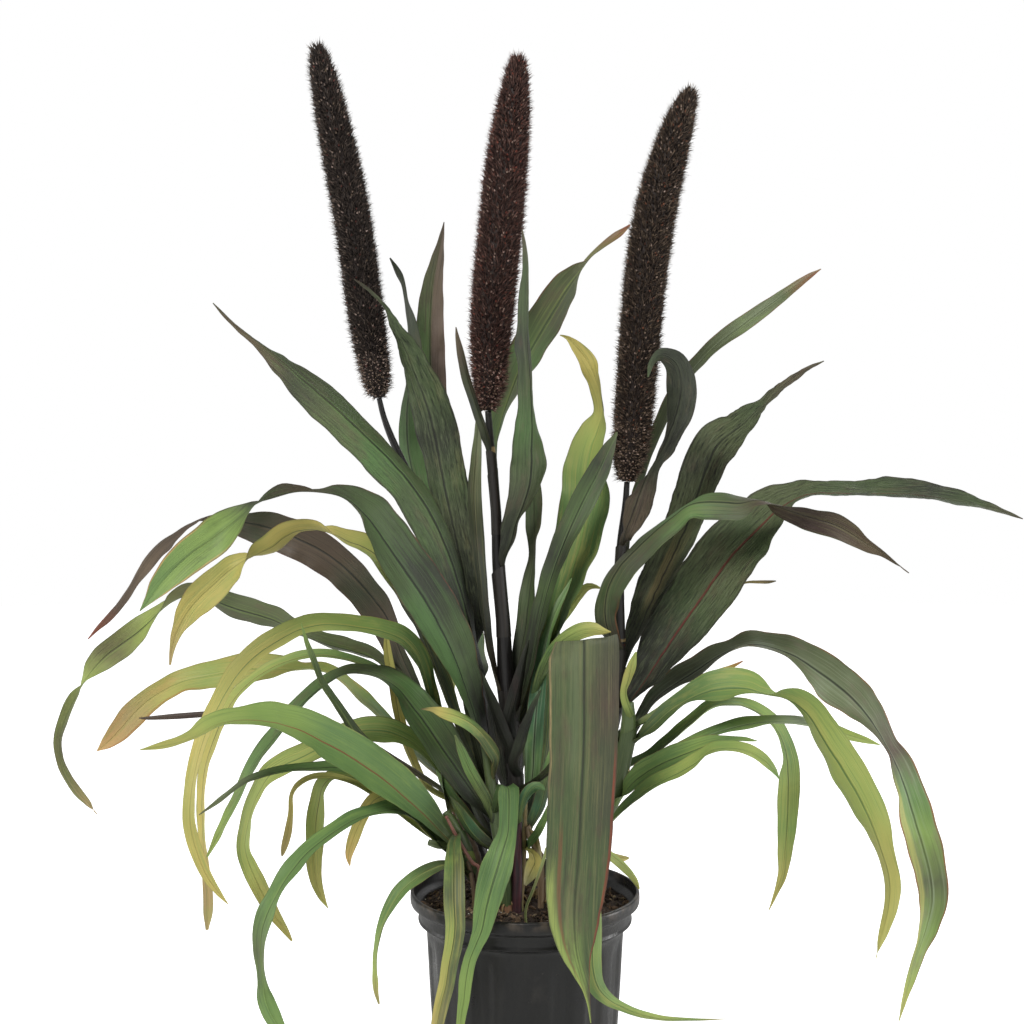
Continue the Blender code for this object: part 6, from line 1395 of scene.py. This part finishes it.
def build_spike(name, spec, seed):
    pts = [at(x, y, b) for x, y, b, _ in spec["pts"]]
    rad = [r for *_, r in spec["pts"]]
    top = stem_course(STEMS[spec["stem"]])[0][0]
    axis = (pts[-2] - top).normalized()
    pts[-1] = top + axis * 0.5
    n = len(pts)
    fine = []
    for k in range((n - 1) * 30 + 1):
        t = k / 30
        i = min(int(t), n - 2)
        f = t - i
        fine.append((catmull(pts, t), max(1.5, catmull([Vector((r, 0, 0)) for r in rad], t).x)))
    run = [0.0]
    for a, b in zip(fine, fine[1:]):
        run.append(run[-1] + (b[0] - a[0]).length)
    total = run[-1]

    def station(s):
        lo, hi = 0, len(run) - 1
        while hi - lo > 1:
            mid = (lo + hi) // 2
            if run[mid] <= s:
                lo = mid
            else:
                hi = mid
        f = (s - run[lo]) / max(1e-6, run[hi] - run[lo])
        p = fine[lo][0].lerp(fine[hi][0], f)
        r = fine[lo][1] + (fine[hi][1] - fine[lo][1]) * f
        a, b = max(0, lo - 6), min(len(fine) - 1, hi + 6)
        tan = (fine[a][0] - fine[b][0]).normalized()       # towards the tip
        dr = (fine[a][1] - fine[b][1]) / max(1e-6, run[b] - run[a])
        return p, r, tan, dr
    look = SPIKE_LOOK[name]
    rnd = random.Random(seed)
    m = Mesh()
    # core
    rows, sides = 90, 28
    ring_prev = None
    seed_len = 4.3
    for k in range(rows + 1):
        s = total * k / rows
        p, r, tan, dr = station(s)
        ax = tan.orthogonal().normalized() if k == 0 else (ax0 - tan * ax0.dot(tan)).normalized()
        ax0 = ax
        ay = tan.cross(ax)
        rr = max(0.8, r - 3.6)
        ring = [m.vert(p + ax * (rr * math.cos(math.tau * j / sides)) + ay * (rr * math.sin(math.tau * j / sides)), (j / sides, s / total), shade=0.0) for j in range(sides)]
        if ring_prev:
            for j in range(sides):
                m.face(ring_prev[j], ring[j], ring[(j + 1) % sides], ring_prev[(j + 1) % sides], m=0)
        else:
            m.face(*ring, m=0)
        ring_prev = ring
    m.face(*ring_prev[::-1], m=0)
    # spikelets in a spiral; each is a slim bead ringed by bristles
    pitch = 2.75
    s = 1.0
    turn = 0.0
    count = 0
    golden = math.pi * (3 - math.sqrt(5))
    while s < total - 0.8:
        p, r, tan, dr = station(s)
        s += pitch * pitch * 0.86 / (math.tau * max(r, 3.0))
        turn += golden
        a = turn + rnd.uniform(-0.07, 0.07)
        ax = (ax0 - tan * ax0.dot(tan)).normalized()
        ay = tan.cross(ax)
        rd = ax * math.cos(a) + ay * math.sin(a)
        v = s / total
        low = step01((v - 0.80) / 0.16)
        lean = 0.50 - 0.55 * low + rnd.uniform(-0.30, 0.30)
        if v < 0.14:
            lean += 1.1 * (1 - v / 0.14)
        tw = rd.cross(tan).normalized()
        d = (rd + tan * lean + tw * rnd.uniform(-0.28, 0.28)).normalized()
        e1 = d.orthogonal().normalized()
        e2 = d.cross(e1)
        ln = seed_len * rnd.uniform(0.80, 1.15)
        tip_r = r - 1.5 + rnd.uniform(-0.8, 0.7)
        base = p + rd * (tip_r - ln * max(0.3, d.dot(rd)))
        fat = rnd.uniform(0.72, 1.02)
        pick = rnd.random()
        pale = look["pale"] * (0.8 + 4.5 * low)
        kind = 2 if pick < pale else (3 if pick < pale + look["warm"] * (1.6 if v < 0.35 else 0.7) else 1)
        shade = rnd.random()
        prev = None
        for f, w in ((0.0, 0.30), (0.30, 1.0), (0.62, 0.86)):
            ring = [m.vert(base + d * (ln * f) + e1 * (fat * w * math.cos(math.tau * j / 4)) + e2 * (fat * w * math.sin(math.tau * j / 4)), (0, f), shade=shade) for j in range(4)]
            if prev:
                for j in range(4):
                    m.face(prev[j], prev[(j + 1) % 4], ring[(j + 1) % 4], ring[j], m=1)
            else:
                m.face(*ring[::-1], m=1)
            prev = ring
        tipv = m.vert(base + d * ln * 1.10, (0, 1), shade=shade)
        for j in range(4):
            m.face(prev[j], prev[(j + 1) % 4], tipv, m=kind)
        # bristles
        for b in range(3):
            th = rnd.uniform(0, math.tau)
            o = e1 * math.cos(th) + e2 * math.sin(th)
            bd = (d + o * rnd.uniform(0.10, 0.60) + tan * rnd.uniform(-0.10, 0.45)).normalized()
            bl = rnd.uniform(3.8, 7.4)
            st = base + d * (ln * 0.40) + o * fat * 0.7
            wv = rnd.uniform(0.34, 0.48) if b else rnd.uniform(0.22, 0.30)
            c1 = bd.orthogonal().normalized()
            c2 = bd.cross(c1)
            k0 = rnd.uniform(0.0, 0.2)
            tone_ = rnd.uniform(0.7, 1.0) if rnd.random() < 0.17 + 0.33 * low else rnd.uniform(0.0, 0.30)
            q = [m.vert(st + c1 * (wv * math.cos(math.tau * j / 3)) + c2 * (wv * math.sin(math.tau * j / 3)), shade=k0) for j in range(3)]
            t_ = m.vert(st + bd * bl + o * 0.3, shade=tone_)
            m.face(q[0], q[1], t_, m=4)
            m.face(q[1], q[2], t_, m=4)
            m.face(q[2], q[0], t_, m=4)
            m.face(q[2], q[1], q[0], m=4)
        count += 1
    mats = []
    for label, a_, b_ in (("core", look["core"], "2c211c"), ("grain", look["grain0"], look["grain1"]), ("fleck", "7d6b55", look["fleck"]),
                          ("hint", "4a2a24", look["hint"]), ("awn", look["awn0"], look["awn1"])):
        g = Graph("mat_%s_%s" % (name, label), 0.62)
        n_ = g.noise(g.obj(), 210.0, 3.0, 0.6, 3.0)
        fac = g.attr("shade") if label in ("grain", "awn", "fleck", "hint") else n_
        col = g.ramp(fac, [(0.0, a_), (0.75, a_ if label == "grain" else b_), (1.0, b_)])
        col = g.mix(g.band(n_, 0.45, 0.7, 0.0, 0.45), col, a_)
        g.put(g.bsdf.inputs["Base Color"], col)
        g.bsdf.inputs["Specular IOR Level"].default_value = 0.3
        mats.append(g.mat)
    ob = m.make("head_" + name[6:], mats, sharp=70)
    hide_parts(name)
    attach(ob, "root")
    return count


# -------------------------------------------------------------------- stage
def build_stage():
    m = Mesh()
    n = 64
    ids = [m.vert((6000 * math.cos(math.tau * k / n), 6000 * math.sin(math.tau * k / n), -0.2)) for k in range(n)]
    m.face(*ids)
    g = Graph("mat_floor", 0.9)
    n_ = g.noise(g.obj(), 3.0, 2.0, 0.5, 1.0)
    g.put(g.bsdf.inputs["Base Color"], g.ramp(n_, [(0.3, (0.86, 0.86, 0.855)), (0.7, (0.90, 0.90, 0.895))]))
    g.bsdf.inputs["Specular IOR Level"].default_value = 0.1
    lit = g.n.new("ShaderNodeLightPath").outputs["Is Camera Ray"]
    g.bsdf.inputs["Emission Color"].default_value = (1.0, 1.0, 1.0, 1.0)
    g.put(g.bsdf.inputs["Emission Strength"], g.math("MULTIPLY", lit, 0.90))
    floor = m.make("floor", [g.mat], smooth=False)
    w = bpy.data.worlds.new("studio")
    bpy.context.scene.world = w
    w.use_nodes = True
    nt = w.node_tree
    bg = nt.nodes["Background"]
    bg.inputs[0].default_value = (1.0, 1.0, 1.0, 1.0)
    bg.inputs[1].default_value = 0.40
    seen = nt.nodes.new("ShaderNodeBackground")
    seen.inputs[0].default_value = (1.0, 1.0, 1.0, 1.0)
    seen.inputs[1].default_value = 1.0
    lp = nt.nodes.new("ShaderNodeLightPath")
    mx = nt.nodes.new("ShaderNodeMixShader")
    nt.links.new(lp.outputs["Is Camera Ray"], mx.inputs[0])
    nt.links.new(bg.outputs[0], mx.inputs[1])
    nt.links.new(seen.outputs[0], mx.inputs[2])
    nt.links.new(mx.outputs[0], nt.nodes["World Output"].inputs[0])

    def area(name, loc, aim, size, power, colour=(1, 1, 1)):
        la = bpy.data.lights.new(name, "AREA")
        la.shape = "DISK"
        la.size = size
        la.energy = power
        la.color = colour
        ob = bpy.data.objects.new(name, la)
        ob.location = loc
        ob.rotation_euler = (Vector(aim) - Vector(loc)).to_track_quat("-Z", "Y").to_euler()
        bpy.context.scene.collection.objects.link(ob)
    area("key", (-1.1, -2.1, 2.5), (0, 0, 0.45), 1.0, 66.0, (1.0, 0.99, 0.97))
    area("fill", (2.1, -0.9, 1.1), (0, 0, 0.35), 1.2, 17.0, (0.97, 0.985, 1.0))
    area("low_right", (1.5, 0.1, 0.22), (0, 0, 0.12), 0.5, 5.0)
    area("low_left", (-1.4, 0.2, 0.25), (0, 0, 0.12), 0.5, 2.5)
    area("rim", (1.4, 2.2, 1.9), (0, 0, 0.45), 1.2, 12.0)
    cam = bpy.data.cameras.new("camera")
    cam.lens = 46.0
    cam.sensor_width = 36.0
    cam.clip_end = 50.0
    co = bpy.data.objects.new("camera", cam)
    co.location = (-0.01014, -1.0206, 0.468)
    co.rotation_euler = (math.radians(90), 0, 0)
    bpy.context.scene.collection.objects.link(co)
    bpy.context.scene.camera = co
    vs = bpy.context.scene.view_settings
    vs.view_transform = "Standard"
    vs.look = "None"
    vs.exposure = 0.0
    vs.gamma = 1.0


build_pot()
build_soil()
for _n, _s in STEMS.items():
    build_stem(_n, _s)
build_roots()
build_stalks()
for _k, (_n, _s) in enumerate(SPIKES.items()):
    build_spike(_n, _s, 31 + _k)
build_leaves()
build_stage()

bpy.context.view_layer.update()
